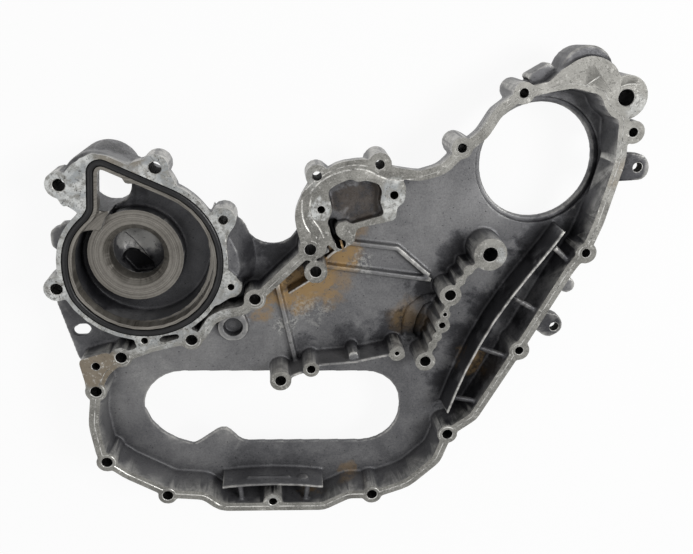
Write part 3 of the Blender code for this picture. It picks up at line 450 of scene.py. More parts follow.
# The solid's groove beside the outlet, filled before the real one is cut: its arc in degrees about the seal's centre,
# and its corner, of which the first points are used
oldGroove = {
    "from": 128, "to": 214, "steps": 60, "cornerPoints": 30, "margin": 0.5, "low": -4.3, "high": -0.3,
    "corner": [(-192.9, 119.0), (-193.0, 104.0), (-193.6, 92.0), (-195.5, 82.5), (-200.5, 79.6), (-207.0, 76.0)],
}

# The land that carries the real groove there
newLand = {"from": (-193.0, 88.0), "to": (-213.5, 8.0), "out": 6.0, "low": -12.3, "high": -0.3}

plug = {"x": -94.0, "y": -30.9, "radius": 12.8, "draft": 0.5, "foot": -31.5, "top": -23.4, "bore": 8.1,
        "floor": -31.6, "boreTop": -18.0}

# The outlet's slanting bore: X, Y and radius at its foot and its mouth
outletBore = {"foot": (-185.5, 91.5, 17.8), "low": -72.0, "mouth": (-184.5, 92.5, 17.0), "high": -11.5}


def prisms(forms):
    return [prism(name, fillet(corners), low, high) for name, corners, low, high in forms]


# Upright rods at the bosses, up to one height
def rods(bosses, high):
    return [prism(f"boss{k}", circle(x, y, radius), low, high) for k, (x, y, radius, low) in enumerate(bosses)]


# Cutters that lean the walls in under the two flanges, less the bosses and places that stay whole
def leaningCuts():
    look = underFlange
    inner = look["edge"] + look["lean"]
    wall = [(-look["reach"], -look["thick"]), (look["edge"], -look["thick"]), (inner, look["leanEnd"]),
            (inner, look["low"]), (-look["reach"], look["low"])]
    flange = stretch(evenLine(fillet(flangePath), 1.5), look["from"], look["to"])
    cuts = [less(swept("underFlange", flange, wall, False), rods(look["bosses"], 4.0))]
    look = underPump
    inner = look["land"] - look["lean"]
    wall = [(look["land"], look["top"]), (look["reach"], look["top"]), (look["reach"], look["low"]),
            (inner, look["low"]), (inner, look["leanEnd"]), (look["land"], -look["thick"])]
    for side in ("right", "left"):
        spared = rods(look["bosses"], 9.0)
        spared += [prism(f"kept{k}", outline, low, high) for k, (outline, low, high) in enumerate(look["kept"])]
        cuts.append(less(swept(side, stretch(sealLine(), *look[side]), wall, False), spared))
    return cuts


# The cast forms and hollows that the solid leaves plain: the walls that lean in under the flanges, the pump's
# tongue, the plug's boss, the duct's mouth, the outlet's slanting bore, and the seal's run beside the outlet
def fittedCasting(cast):
    half = seal["groove"] / 2
    old, land = oldGroove, newLand
    angle = np.radians(np.linspace(old["from"], old["to"], old["steps"]))
    arc = np.array(seal["centre"]) + seal["radius"] * np.stack([np.cos(angle), np.sin(angle)], -1)
    corner = evenLine(np.array(old["corner"]), 1.5)[:old["cornerPoints"]]
    fill = box(-half - old["margin"], half + old["margin"], old["low"], old["high"])
    ledge = box(-half - seal["lip"], land["out"], land["low"], land["high"])
    x, y, radius = plug["x"], plug["y"], plug["radius"]
    forms = prisms(castForms) + [
        swept("oldGroove", arc, fill, False),
        swept("oldCorner", corner, fill, False),
        swept("newLand", stretch(sealLine(), land["from"], land["to"]), ledge, False),
        prism("plugBoss", circle(x, y, radius + plug["draft"]), plug["foot"], plug["top"], circle(x, y, radius)),
    ]
    foot, mouth = circle(*outletBore["foot"]), circle(*outletBore["mouth"])
    hollows = prisms(castHollows) + [
        prism("plugBore", circle(x, y, plug["bore"]), plug["floor"], plug["boreTop"]),
        prism("outletBore", foot, outletBore["low"], outletBore["high"], mouth),
    ]
    cuts = leaningCuts()
    combined(cast, forms, "UNION")
    combined(cast, hollows + cuts, "DIFFERENCE")
    say(f"cast forms fitted, {len(cast.data.polygons)} faces")


# The parting line's mark across the suction bowl: its ends, half width and depth, and the bowl's height at these
# shares of the eye's radius
parting = {
    "from": (-181.5, 45.9), "to": (-163.8, 21.2), "steps": 13, "half": 0.4, "deep": 0.45, "tall": 3.0,
    "share": [0, 0.45, 0.8, 0.96], "bowl": [-61.5, -60.5, -56.5, -50.5],
}


# The thin upright blade that scores the parting line across the round bottom of the bowl
def bowlScore():
    start, end = np.array(parting["from"]), np.array(parting["to"])
    line = start + (end - start) * np.linspace(0, 1, parting["steps"])[:, None]
    away = np.hypot(line[:, 0] - ring["x"], line[:, 1] - ring["y"]) / ring["eye"]
    low = np.interp(away, parting["share"], parting["bowl"]) - parting["deep"]
    ahead = (end - start) / np.linalg.norm(end - start)
    side = np.array((ahead[1], -ahead[0])) * parting["half"]
    rows = [world(*(line + side * way).T, height) for way in (-1, 1) for height in (low, low + parting["tall"])]
    return bar("bowlScore", rows, (0, 2, 3, 1))


def drillTool(name, x, y, size, top, depth, tapped):
    chamfer = skin["chamfer"]
    radius = size / 2 + skin["clear"]
    low = -depth if depth < drilling["through"] else -plan["face"] - drilling["past"]
    profile = [(radius + chamfer, drilling["top"]), (radius + chamfer, top), (radius, top - chamfer)]
    if tapped:
        pitch = drilling["pitch"]
        for turn in range(int((top - chamfer - low - drilling["unthreaded"]) / pitch)):
            z = top - chamfer - pitch * (turn + 0.5)
            profile += [(radius + drilling["thread"], z), (radius, z - pitch / 2)]
    return turned(name, x, y, profile + [(radius, low)], skin["holeSides"])


# Cutters that mill the faces and drill the holes crisply after the cast skin is rounded
def machiningTools():
    reach = 320.0
    half = seal["groove"] / 2
    inner = -half - seal["lip"] - 1.6
    tools = [
        prism("faceMill", box(-reach, reach, -reach, reach), 0.0, 12.0),
        swept("sealGroove", sealLine(), box(-half, half, -seal["grooveDepth"], 8.0)),
        swept("lipTool", sealLine(), box(inner, 0, -seal["lipDepth"], 8.1)),
    ]
    tools += [drillTool(f"drill{index}", *drill) for index, drill in enumerate(drills)]
    for index, (depth, outline) in enumerate(spotFaces):
        tools.append(prism(f"spotFace{index}", outline, depth, 9.0 + index * 0.1))
    face = -ring["depth"]
    mouth = [
        (ring["radius"] + 0.6, face + 6), (ring["radius"] + 0.6, face), (ring["mouth"] + 0.1, face),
        (ring["eye"] + 0.1, face - ring["chamfer"]), (ring["eye"] + 0.1, ring["eyeEnd"]),
    ]
    tools.append(turned("ringTool", ring["x"], ring["y"], mouth, 96))
    wheel = wheelHole
    floor, deep = -wheel["floor"], -wheel["floor"] - wheel["recessDepth"]
    recess = [(wheel["recess"] + 0.5, deep + 7), (wheel["recess"] + 0.5, floor - 0.1),
              (wheel["recess"], floor - 0.6), (wheel["recess"], deep)]
    tools += [turned("wheelRecess", wheel["x"], wheel["y"], recess, 128), shoulderTool()]
    for index, (width, depth, points) in enumerate(faceLines):
        tools.append(scriber(f"faceLine{index}", points, width, depth))
    return tools + [bowlScore()]


# The tops and the ring stand proud, so that milling them afterwards leaves crisp edges on the rounded skin
def liftFaces(mesh):
    co = values(mesh.vertices, "co", 3)
    high = co[:, 2] > (plan["face"] + skin["liftFrom"]) * mm
    co[high, 2] += skin["lift"] * mm
    away = np.hypot(co[:, 0] / mm - plan["x"] - ring["x"], co[:, 1] / mm - plan["y"] - ring["y"])
    onRing = (away < ring["radius"] + 0.4) & (np.abs(co[:, 2] / mm - plan["face"] + ring["depth"]) < 0.05)
    co[onRing, 2] += skin["ringLift"] * mm
    mesh.vertices.foreach_set("co", co.ravel())


# A copy of the casting's solid with rounded cast edges and crisp machined ones
def roundedCasting():
    mesh = frame["nodes"]["cover_casting"].data.copy()
    form = bmesh.new()
    form.from_mesh(mesh)
    bmesh.ops.remove_doubles(form, verts=form.verts, dist=1e-6)
    form.to_mesh(mesh)
    form.free()
    cast = addObject("castingSkin", mesh)
    fittedCasting(cast)
    liftFaces(cast.data)
    remesh = cast.modifiers.new("round", "REMESH")
    remesh.mode = "VOXEL"
    remesh.voxel_size = skin["voxel"] * mm
    smooth = cast.modifiers.new("soften", "SMOOTH")
    smooth.factor = skin["smoothShare"]
    smooth.iterations = skin["smoothSteps"]
    settled(cast)
    say(f"cast skin {len(cast.data.polygons)} faces")
    # Two triangles for each face of the skin
    thin = cast.modifiers.new("thin", "DECIMATE")
    thin.ratio = skin["triangles"] / (2 * len(cast.data.polygons))
    thin.use_collapse_triangulate = True
    settled(cast)
    say(f"thinned to {len(cast.data.polygons)} triangles")
    combined(cast, machiningTools(), "DIFFERENCE")
    say(f"machined to {len(cast.data.polygons)} faces")
    return cast


# Values on the points from how the surface bends there: edge is high on outer corners, hollow in inner ones
def markBends(mesh):
    count = len(mesh.vertices)
    co = values(mesh.vertices, "co", 3).astype(float)
    normal = values(mesh.vertex_normals, "vector", 3).astype(float)
    a, b = values(mesh.edges, "vertices", 2, np.int32).T
    span = co[b] - co[a]
    length = np.linalg.norm(span, axis=1) + 1e-9
    bend = np.zeros(count)
    weight = np.zeros(count)
    np.add.at(bend, a, np.einsum("ij,ij->i", normal[a], span) / length)
    np.add.at(bend, b, -np.einsum("ij,ij->i", normal[b], span) / length)
    np.add.at(weight, a, 1.0)
    np.add.at(weight, b, 1.0)
    bend = -bend / np.maximum(weight, 1)
    for step in range(2):
        total = bend * 2
        share = np.full(count, 2.0)
        np.add.at(total, a, bend[b])
        np.add.at(total, b, bend[a])
        np.add.at(share, a, 1.0)
        np.add.at(share, b, 1.0)
        bend = total / share
    for name, sign in (("edge", 1), ("hollow", -1)):
        layer = mesh.attributes.new(name, "FLOAT", "POINT")
        layer.data.foreach_set("value", np.clip(bend * sign / 0.35, 0, 1).astype(np.float32))


# A material's nodes, made one after another
class Paint:
    def __init__(self, name):
        self.mat = bpy.data.materials.new(name)
        self.mat.use_nodes = True
        self.tree = self.mat.node_tree
        self.shader = self.tree.nodes["Principled BSDF"]
        self.place = self.add("ShaderNodeTexCoord").outputs["Object"]

    def add(self, kind, inputs=None, **settings):
        node = self.tree.nodes.new(kind)
        for key, value in settings.items():
            setattr(node, key, value)
        for key, value in (inputs or {}).items():
            if isinstance(value, bpy.types.NodeSocket):
                self.tree.links.new(value, node.inputs[key])
            else:
                node.inputs[key].default_value = value
        return node

    # Noise whose blotches are about this many millimetres wide
    def noise(self, size, detail=3.0, rough=0.5, place=None, distortion=0.0):
        node = self.add("ShaderNodeTexNoise", {
            "Vector": place or self.place, "Scale": 1000.0 / size, "Detail": detail, "Roughness": rough,
            "Distortion": distortion,
        })
        return node.outputs["Fac"]

    def math(self, what, a, b=0.0, c=0.0, clamp=False):
        node = self.add("ShaderNodeMath", {0: a, 1: b, 2: c}, operation=what, use_clamp=clamp)
        return node.outputs[0]

    # The value taken from low..high to start..end, held at both
    def span(self, value, low, high, start=0.0, end=1.0):
        node = self.add("ShaderNodeMapRange", {
            "Value": value, "From Min": low, "From Max": high, "To Min": start, "To Max": end,
        }, interpolation_type="SMOOTHSTEP")
        return node.outputs["Result"]

    # The node's sockets 0, 6 and 7 take the share and the two colours
    def mix(self, share, a, b):
        node = self.add("ShaderNodeMix", data_type="RGBA")
        for key, value in ((0, share), (6, a), (7, b)):
            if isinstance(value, bpy.types.NodeSocket):
                self.tree.links.new(value, node.inputs[key])
            elif key == 0:
                node.inputs[key].default_value = value
            else:
                node.inputs[key].default_value = (*value, 1.0)
        return node.outputs[2]

    def layer(self, name):
        return self.add("ShaderNodeAttribute", attribute_name=name).outputs["Fac"]

    # 1 on an open surface, less in corners and holes narrower than about the reach in millimetres
    def open(self, reach):
        return self.add("ShaderNodeAmbientOcclusion", {"Distance": reach * mm}, samples=6).outputs["AO"]

    # 1 inside a round patch, 0 outside, with an edge that the wobble breaks up
    def spot(self, x, y, z, radius, soft, wobble):
        centre = [float(v) for v in world(x, y, z)]
        away = self.add("ShaderNodeVectorMath", {0: self.place, 1: centre}, operation="DISTANCE")
        away = self.math("ADD", away.outputs["Value"], wobble)
        return self.span(away, radius * mm, (radius - soft) * mm)

    # The strongest of several patches on the gasket face
    def strongest(self, patches, wobble):
        most = 0.0
        for x, y, radius, soft, strength in patches:
            here = self.math("MULTIPLY", self.spot(x, y, 0, radius, soft, wobble), strength)
            most = self.math("MAXIMUM", here, most)
        return most

    def finish(self, colour, rough, bump, strength, distance):
        tie = self.tree.links.new
        tie(colour, self.shader.inputs["Base Color"])
        tie(rough, self.shader.inputs["Roughness"])
        relief = self.add("ShaderNodeBump", {"Height": bump, "Strength": strength, "Distance": distance * mm})
        tie(relief.outputs["Normal"], self.shader.inputs["Normal"])
        return self.mat


castLook = {
    "ramp": [(0.0, (0.010, 0.010, 0.012)), (0.28, (0.045, 0.045, 0.050)), (0.52, (0.125, 0.125, 0.131)),
             (0.74, (0.235, 0.234, 0.236)), (1.0, (0.46, 0.455, 0.44))],
    "edge": (0.60, 0.59, 0.56),
    "poreAndShadeDark": (0.012, 0.012, 0.014),
    "oil": (0.33, 0.215, 0.095),
    "white": (0.62, 0.62, 0.58),
    # Painted light and painted shade, such as shadows beside bosses and walls, mixed with places of lighter or darker
    # metal: X, Y, Z, radius, softness, how much
    "lightShadeAndTone": [
        (60, 62, -28, 58, 34, 0.11), (120, 70, -28, 34, 24, 0.10), (-70, -45, -28, 60, 30, 0.10),
        (-150, -48, -28, 52, 24, 0.16), (-195, -90, -28, 40, 24, 0.14), (20, -12, -28, 46, 30, 0.06),
        (-110, 46, -10, 30, 12, 0.12), (-150, -165, -28, 40, 24, 0.06), (-168, 42, -58, 20, 8, 0.62),
        (96, 26, -28, 22, 12, -0.30), (72, -2, -28, 16, 10, -0.32), (60, -40, -30, 20, 9, -0.36),
        (40, -44, -28, 22, 12, -0.32), (10, -46, -28, 18, 10, -0.22), (-36, -54, -28, 16, 9, -0.24),
        (74, -62, -28, 14, 8, -0.18), (150, 10, -14, 30, 14, -0.34), (130, -22, -14, 30, 14, -0.34),
        (112, -60, -14, 32, 14, -0.34), (98, -98, -14, 30, 14, -0.34), (178, 30, -24, 34, 16, -0.30),
        (200, 70, -14, 34, 16, -0.26), (205, 110, -14, 30, 16, -0.34), (176, 140, -14, 34, 18, -0.16),
        (-70, 22, -22, 34, 14, -0.18), (-45, 30, -22, 26, 10, -0.24), (-104, -6, -22, 20, 10, -0.34),
        (-215, -20, -22, 30, 14, -0.16), (-160, 38, -34, 66, 8, -0.16), (-108, 62, -22, 20, 10, -0.14),
        (-45, -70, -22, 18, 10, -0.12), (-66, -190, -24, 50, 20, -0.08), (-10, 52, -14, 13, 5, -0.40),
        (-190, 96, -30, 34, 12, -0.18), (11, 80, -9, 24, 6, -0.30), (-212, 106, -30, 24, 12, -0.10),
        (-187, 122, -32, 26, 10, -0.40), (236, 101, -12, 24, 8, -0.30), (180, -36, -12, 24, 8, -0.28),
        (-88, 44, -8, 26, 12, -0.10), (184, 188, -16, 26, 10, -0.16), (-172, 20, -66, 14, 6, -0.55),
        (-180, 112, -34, 30, 12, -0.20),
    ],
    # Brown oil: X, Y, Z, radius, softness, strength
    "oilSpots": [
        (2, 33, -27, 17, 7, 0.95), (-8, 30, -27, 14, 6, 0.8), (-40, -2, -27, 24, 10, 0.95),
        (-62, -6, -27, 14, 6, 0.9), (-22, 2, -27, 22, 12, 0.85), (-68, -18, -27, 15, 7, 0.7),
        (-4, 8, -28, 18, 12, 0.5), (58, -30, -28, 22, 14, 0.35), (12, 50, -28, 14, 8, 0.45),
        (112, -70, -28, 16, 8, 0.65), (11, 78, -9, 26, 8, 0.10), (-32, -196, -20, 12, 6, 0.5),
        (4, -176, -22, 10, 5, 0.4),
    ],
    "whiteSpots": [(-52, -32, -28, 14, 10, 0.55), (18, 26, -28, 14, 8, 0.35), (-30, -16, -28, 18, 12, 0.30)],
}


# Die-cast aluminium: fine grain over wide mottling, painted light and painted shade in places, convex edges made
# bright as part rubbed wear and part painted highlight, brown oil stains, dark pores, and painted shade darkening the
# hollows and sheltered corners
def castMetal():
    look = castLook
    paint = Paint("castMetal")
    grain = paint.noise(1.5, 4.0, 0.7)
    mottle = paint.noise(34, 6.0, 0.62, distortion=0.5)
    streak = paint.noise(8, 6.0, 0.72)
    fine = paint.noise(3.0, 3.0, 0.7)
    wobble = paint.math("MULTIPLY", paint.math("SUBTRACT", streak, 0.5), 0.022)
    wobble = paint.math("ADD", wobble, paint.math("MULTIPLY", paint.math("SUBTRACT", mottle, 0.5), 0.045))
    tone = paint.math("MULTIPLY_ADD", mottle, 0.45, 0.04)
    tone = paint.math("MULTIPLY_ADD", grain, 0.42, tone)
    tone = paint.math("MULTIPLY_ADD", streak, 0.16, tone)
    # Painted light and painted shade patches, with some lighter or darker metal, added to the tone
    for *patch, amount in look["lightShadeAndTone"]:
        tone = paint.math("MULTIPLY_ADD", paint.spot(*patch, wobble), amount, tone)
    # Painted shade: the tone darkens where the surface bends inward
    hollow = paint.span(paint.layer("hollow"), 0.10, 0.80)
    tone = paint.math("MULTIPLY_ADD", hollow, -0.22, tone)
    # Painted shade: the tone darkens where ambient occlusion finds corners and recesses
    shelter = paint.open(16)
    tone = paint.math("ADD", paint.span(shelter, 0.30, 0.85, -0.31, 0.01), tone)
    ramp = paint.add("ShaderNodeValToRGB", {"Fac": tone})
    bands = ramp.color_ramp.elements
    while len(bands) < len(look["ramp"]):
        bands.new(0.5)
    for band, (place, colour) in zip(bands, look["ramp"]):
        band.position = place
        band.color = (*colour, 1)
    colour = ramp.outputs["Color"]
    for *patch, strength in look["oilSpots"]:
        ragged = paint.span(streak, 0.36, 0.54, 0.2 * strength, strength)
        colour = paint.mix(paint.math("MULTIPLY", paint.spot(*patch, wobble), ragged), colour, look["oil"])
    for *patch, strength in look["whiteSpots"]:
        ragged = paint.span(fine, 0.44, 0.60, 0.0, strength)
        colour = paint.mix(paint.math("MULTIPLY", paint.spot(*patch, wobble), ragged), colour, look["white"])
    pores = paint.span(paint.noise(2.2, 2.0, 0.6), 0.34, 0.27, 0.0, 0.75)
    colour = paint.mix(pores, colour, look["poreAndShadeDark"])
    # Painted shade: the most sheltered corners go near black
    colour = paint.mix(paint.span(shelter, 0.42, 0.16, 0.0, 0.9), colour, look["poreAndShadeDark"])
    # Convex edges made lighter: part rubbed wear, part painted highlight
    ragged = paint.span(streak, 0.34, 0.60, 0.30, 1.0)
    edge = paint.math("MULTIPLY", paint.span(paint.layer("edge"), 0.12, 0.50), ragged)
    colour = paint.mix(edge, colour, look["edge"])
    rough = paint.span(grain, 0.3, 0.7, 0.34, 0.60)
    paint.shader.inputs["Metallic"].default_value = 0.40
    relief = paint.math("MULTIPLY_ADD", grain, 0.6, paint.math("MULTIPLY", paint.noise(0.7, 2.0), 0.4))
    return paint.finish(colour, rough, relief, 0.45, 0.40)


faceLook = {
    "dark": (0.155, 0.151, 0.138),
    "light": (0.335, 0.328, 0.302),
    "scratch": (0.70, 0.69, 0.65),
    "pit": (0.045, 0.042, 0.038),
    "white": (0.70, 0.71, 0.695),
    "bruise": (0.37, 0.39, 0.40),
    "brown": (0.21, 0.165, 0.11),
    # White corrosion: X, Y, radius, softness, strength
    "corroded": [
        (-160, 38, 80, 8, 0.75), (-205, 98, 36, 14, 1.0), (-142, 110, 18, 8, 1.0), (-226, 17, 12, 4, 0.9),
        (-92, 66, 18, 8, 0.9), (35, 86, 15, 6, 0.9), (38, 72, 9, 5, 0.6), (-19.6, 75.8, 8.6, 3, 0.95),
        (222, 150, 10, 6, 0.6), (125, 34.8, 9, 4, 0.65), (214, 118, 12, 8, 0.30), (-92, 14, 10, 4, 0.8),
        (-163, -29, 14, 6, 0.8), (-66, -192, 8, 5, 0.5), (-28, 102, 10, 6, 0.45),
    ],
    # Painted shadow on the face: X, Y, radius, softness, strength
    "shadowSpots": [(192, 174, 52, 22, 0.50), (226, 128, 26, 12, 0.40), (110, 100, 40, 20, 0.30)],
    "brownSpots": [(-205, -52, 22, 8, 0.75), (228, 100, 20, 10, 0.4), (-160, 112, 22, 8, 0.35),
                   (212, 92, 10, 8, 0.5), (-176, 116, 12, 6, 0.4)],
}


# Milled gasket face: warm grey with fine speckle, bright rubs and dark pits, white where it has corroded, and patches
# of painted shadow
def milledFace():
    look = faceLook
    paint = Paint("milledFace")
    grain = paint.noise(1.3, 4.0, 0.75)
    speck = paint.noise(2.1, 3.0, 0.8)
    mottle = paint.noise(22, 5.0, 0.62, distortion=0.5)
    flat = paint.add("ShaderNodeMapping", {"Vector": paint.place, "Scale": (1.0, 1.0, 0.05)}).outputs[0]
    wobble = paint.math("MULTIPLY", paint.math("SUBTRACT", mottle, 0.5), 0.030)
    tone = paint.math("MULTIPLY_ADD", mottle, 0.5, paint.math("MULTIPLY", grain, 0.5))
    colour = paint.mix(paint.span(tone, 0.36, 0.62), look["dark"], look["light"])
    colour = paint.mix(paint.strongest(look["brownSpots"], wobble), colour, look["brown"])
    corroded = paint.strongest(look["corroded"], wobble)
    chalk = paint.mix(paint.span(mottle, 0.40, 0.60), look["white"], look["bruise"])
    patchy = paint.math("MULTIPLY", corroded, paint.span(paint.noise(6, 6.0, 0.75), 0.38, 0.56, 0.10, 0.95))
    colour = paint.mix(patchy, colour, chalk)
    rub = paint.span(paint.noise(5, 5.0, 0.8, place=flat), 0.56, 0.66, 0.0, 0.65)
    colour = paint.mix(rub, colour, look["scratch"])
    # Painted shadow patches pull the face towards its dark grey
    for x, y, radius, soft, strength in look["shadowSpots"]:
        paintedShadow = paint.math("MULTIPLY", paint.spot(x, y, 0, radius, soft, wobble), strength)
        colour = paint.mix(paintedShadow, colour, look["dark"])
    pits = paint.span(speck, 0.43, 0.33)
    pits = paint.math("MULTIPLY", pits, paint.math("MULTIPLY_ADD", corroded, 0.45, 0.45))
    colour = paint.mix(pits, colour, look["pit"])
    rough = paint.span(grain, 0.3, 0.7, 0.32, 0.56)
    paint.shader.inputs["Metallic"].default_value = 0.40
    relief = paint.math("SUBTRACT", paint.math("MULTIPLY", grain, 0.5), pits)
    return paint.finish(colour, rough, relief, 0.45, 0.30)


ringLook = {
    "dark": (0.125, 0.115, 0.100), "light": (0.285, 0.268, 0.240), "gap": 1.3, "groove": (0.05, 0.043, 0.036),
    "rub": (0.50, 0.48, 0.44),
}


# Lathe-turned ring and bore: fine tool marks run round the pump's axis
def turnedRing():
    look = ringLook
    paint = Paint("turnedRing")
    centre = [float(v) for v in world(ring["x"], ring["y"], 0)]
    moved = paint.add("ShaderNodeMapping", {
        "Vector": paint.place, "Location": (-centre[0], -centre[1], 0.0),
    }).outputs[0]
    level = paint.add("ShaderNodeVectorMath", {0: moved, 1: (1.0, 1.0, 0.0)}, operation="MULTIPLY").outputs[0]
    away = paint.add("ShaderNodeVectorMath", {0: level}, operation="LENGTH").outputs["Value"]
    away = paint.math("MULTIPLY_ADD", paint.noise(60, 2.0), 0.0006, away)
    marks = paint.add("ShaderNodeTexNoise", {
        "W": paint.math("MULTIPLY", away, 1000.0 / look["gap"]), "Scale": 1.0, "Detail": 5.0, "Roughness": 0.8,
    }, noise_dimensions="1D").outputs["Fac"]
    mottle = paint.noise(18, 5.0, 0.65)
    grain = paint.noise(1.4, 3.0, 0.7)
    tone = paint.math("MULTIPLY_ADD", marks, 0.55, paint.math("MULTIPLY", mottle, 0.30))
    tone = paint.math("MULTIPLY_ADD", grain, 0.15, tone)
    colour = paint.mix(paint.span(tone, 0.36, 0.62), look["dark"], look["light"])
    colour = paint.mix(paint.span(marks, 0.37, 0.29, 0.0, 0.85), colour, look["groove"])
    colour = paint.mix(paint.span(marks, 0.64, 0.72, 0.0, 0.6), colour, look["rub"])
    rough = paint.span(mottle, 0.3, 0.7, 0.28, 0.46)
    paint.shader.inputs["Metallic"].default_value = 0.55
    return paint.finish(colour, rough, marks, 0.45, 0.12)


# The inside of a drilled hole, painted near black as the shade in it, with a faint grain
def shadedHole():
    paint = Paint("shadedHole")
    grain = paint.noise(2.0, 4.0, 0.6)
    colour = paint.mix(paint.span(grain, 0.35, 0.70), (0.003, 0.003, 0.003), (0.020, 0.019, 0.018))
    paint.shader.inputs["Specular IOR Level"].default_value = 0.08
    return paint.finish(colour, paint.span(grain, 0.3, 0.7, 0.60, 0.80), grain, 0.3, 0.2)


# Rubbed bevels: bare metal, brighter where it has been knocked
def rubbedEdge():
    paint = Paint("rubbedEdge")
    wear = paint.noise(7, 5.0, 0.7)
    grain = paint.noise(1.0, 3.0, 0.7)
    tone = paint.math("MULTIPLY_ADD", wear, 0.7, paint.math("MULTIPLY", grain, 0.3))
    colour = paint.mix(paint.span(tone, 0.38, 0.58), (0.16, 0.155, 0.145), (0.86, 0.85, 0.81))
    paint.shader.inputs["Metallic"].default_value = 0.45
    return paint.finish(colour, paint.span(grain, 0.3, 0.7, 0.25, 0.45), grain, 0.3, 0.2)


# Satin moulded rubber with a dusty grain
def blackRubber():
    paint = Paint("blackRubber")
    grain = paint.noise(1.2, 4.0, 0.6)
    wear = paint.noise(14, 4.0, 0.6)
    colour = paint.mix(paint.span(wear, 0.4, 0.7, 0.0, 0.6), (0.004, 0.004, 0.005), (0.018, 0.018, 0.019))
    return paint.finish(colour, paint.span(grain, 0.3, 0.7, 0.30, 0.48), grain, 0.2, 0.1)


# Whether each point lies inside the closed outline, by counting the sides that a level line crosses
def insideLine(x, y, outline):
    inside = np.zeros(len(x), bool)
    for (ax, ay), (bx, by) in zip(outline, np.roll(outline, -1, 0)):
        crosses = (ay > y) != (by > y)
        inside ^= crosses & (x < (bx - ax) * (y - ay) / (by - ay + 1e-12) + ax)
    return inside


# A finish for each face by its place and by how far it faces up
def faceZones(mesh):
    milled, lathed, drilled, rubbed = 1, 2, 3, 4
    flat, steep = 0.97, 0.3
    up = values(mesh.polygons, "normal", 3)[:, 2]
    centre = values(mesh.polygons, "center", 3) / mm
    x, y, z = centre[:, 0] - plan["x"], centre[:, 1] - plan["y"], centre[:, 2] - plan["face"]
    finish = np.zeros(len(mesh.polygons), np.int32)
    finish[(up > flat) & (z > skin["liftFrom"])] = milled
    finish[(up > steep) & (up < flat) & (z > -0.56)] = rubbed
    away = np.hypot(x - ring["x"], y - ring["y"])
    onRing = (away < ring["radius"] + 0.8) & (np.abs(z + ring["depth"]) < 0.3) & (up > 0.9)
    inEye = (away < ring["mouth"] + 0.3) & (away > ring["eye"] - 0.5) & (up > -0.5)
    inEye &= (z < -ring["depth"] + 0.1) & (z > ring["eyeEnd"] + 2.0)
    fromPump = np.hypot(x - seal["centre"][0], y - seal["centre"][1])
    onBore = (fromPump < seal["radius"] + 1) & (fromPump > 40) & (z > seal["wallFrom"]) & (z < -0.9)
    onBore &= np.abs(up) < 0.5
    inSeal = insideLine(x, y, sealLine())
    finish[onRing | inEye | onBore | (inSeal & (z > -1.2))] = lathed
    # Hole walls take the hole finish, painted near black as shade; their chamfers take the rubbed finish
    for holeX, holeY, size, top, depth, tapped in drills:
        radius, chamfer = size / 2 + skin["clear"], skin["chamfer"]
        near = np.hypot(x - holeX, y - holeY)
        finish[(near < radius + 0.3) & (up < 0.95) & (z < top - chamfer + 0.02)] = drilled
        sloping = (up > steep) & (up < 0.95) & (z < top) & (z > top - chamfer)
        finish[(near < radius + chamfer) & sloping] = rubbed
    # The bottoms of blind holes also take the near-black painted shade
    for holeX, holeY, size, top, depth, tapped in drills:
        if depth < drilling["through"]:
            finish[(np.hypot(x - holeX, y - holeY) < size / 2 + 0.4) & (z < top - depth + 1.0)] = drilled
    finish[(up > 0.6) & (np.abs(z - seal["ledge"]) < 0.6) & inSeal] = lathed
    mesh.polygons.foreach_set("material_index", finish)


# The seal: a rounded bar carried round its groove; its sides stand upright and its crown is a half ellipse
def rubberSeal():
    half = seal["groove"] / 2 - seal["gap"]
    low, high = -seal["grooveDepth"] + seal["gap"], seal["stand"]
    bevel = seal["bevel"]
    turn = np.linspace(0, np.pi, 13)
    out = half * np.cos(turn)
    up = high - seal["crown"] + seal["crown"] * np.sin(turn) ** 0.8
    profile = [(half - bevel, low), (half, low + bevel)] + list(zip(out, up))
    profile += [(-half, low + bevel), (-half + bevel, low)]
    mesh = pointUp(swept("pumpSealBody", sealLine(), profile))
    obj = addObject("pumpSeal", mesh)
    mesh.shade_smooth()
    mesh.materials.append(blackRubber())
    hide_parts("pump_seal")
    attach(obj, "root")


studio = {
    "skyStrength": 0.47,
    "floorWhite": 0.92,
    # Soft boxes: name, place, watts, size
    "softBoxes": [("softBoxRight", (0.80, 0.30, 1.15), 10.0, 0.45),
                  ("softBoxLeft", (-0.9, -0.35, 1.1), 2.0, 0.9)],
}


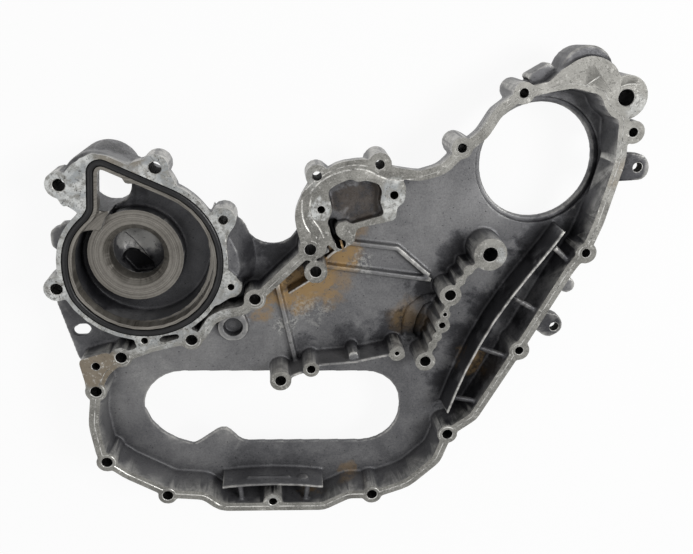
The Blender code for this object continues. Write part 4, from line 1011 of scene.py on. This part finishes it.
# Pale floor that reads as white to the camera and in reflections but keeps a trace of the shadow
def whiteFloor():
    paint = Paint("paleFloor")
    paint.shader.inputs["Base Color"].default_value = (0.82, 0.82, 0.82, 1)
    paint.shader.inputs["Roughness"].default_value = 0.8
    glow = paint.add("ShaderNodeEmission", {"Strength": 1.0})
    rays = paint.add("ShaderNodeLightPath").outputs
    seen = paint.math("ADD", rays["Is Camera Ray"], rays["Is Glossy Ray"])
    seen = paint.math("ADD", seen, rays["Is Transmission Ray"], clamp=True)
    share = paint.math("MULTIPLY", seen, studio["floorWhite"])
    both = paint.add("ShaderNodeMixShader", {0: share, 1: paint.shader.outputs[0], 2: glow.outputs[0]})
    paint.tree.links.new(both.outputs[0], paint.tree.nodes["Material Output"].inputs["Surface"])
    return paint.mat


def buildStage():
    reach = 4000
    under = -plan["face"]
    floor = addObject("floor", prism("floor", box(-reach, reach, -reach, reach), under - 20, under - 0.2))
    floor.data.materials.append(whiteFloor())
    data = bpy.data.cameras.new("camera")
    data.sensor_width = 36.0
    data.lens = data.sensor_width * camera["focalPixels"] / camera["framePixels"]
    eye = addObject("camera", data)
    turn = Matrix((camera["right"], camera["up"], camera["back"])).transposed().to_4x4()
    eye.matrix_world = Matrix.Translation([v * mm for v in camera["place"]]) @ turn
    bpy.context.scene.camera = eye
    for name, place, watts, size in studio["softBoxes"]:
        lamp = bpy.data.lights.new(name, "AREA")
        lamp.energy = watts
        lamp.size = size
        light = addObject(name, lamp)
        light.location = place
        light.rotation_euler = light.location.to_track_quat("Z", "Y").to_euler()
    sky = bpy.data.worlds.new("studio")
    bpy.context.scene.world = sky
    sky.use_nodes = True
    back = sky.node_tree.nodes["Background"]
    back.inputs["Color"].default_value = (1, 1, 1, 1)
    back.inputs["Strength"].default_value = studio["skyStrength"]
    bpy.context.scene.view_settings.view_transform = "Standard"


say("casting")
casting = roundedCasting()
casting.data.materials.clear()
for finish in (castMetal(), milledFace(), turnedRing(), shadedHole(), rubbedEdge()):
    casting.data.materials.append(finish)
faceZones(casting.data)
markBends(casting.data)
casting.data.shade_smooth()
casting.data.set_sharp_from_angle(angle=0.6)
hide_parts("cover_casting")
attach(casting, "root")

say("seal")
rubberSeal()

say("stage")
buildStage()
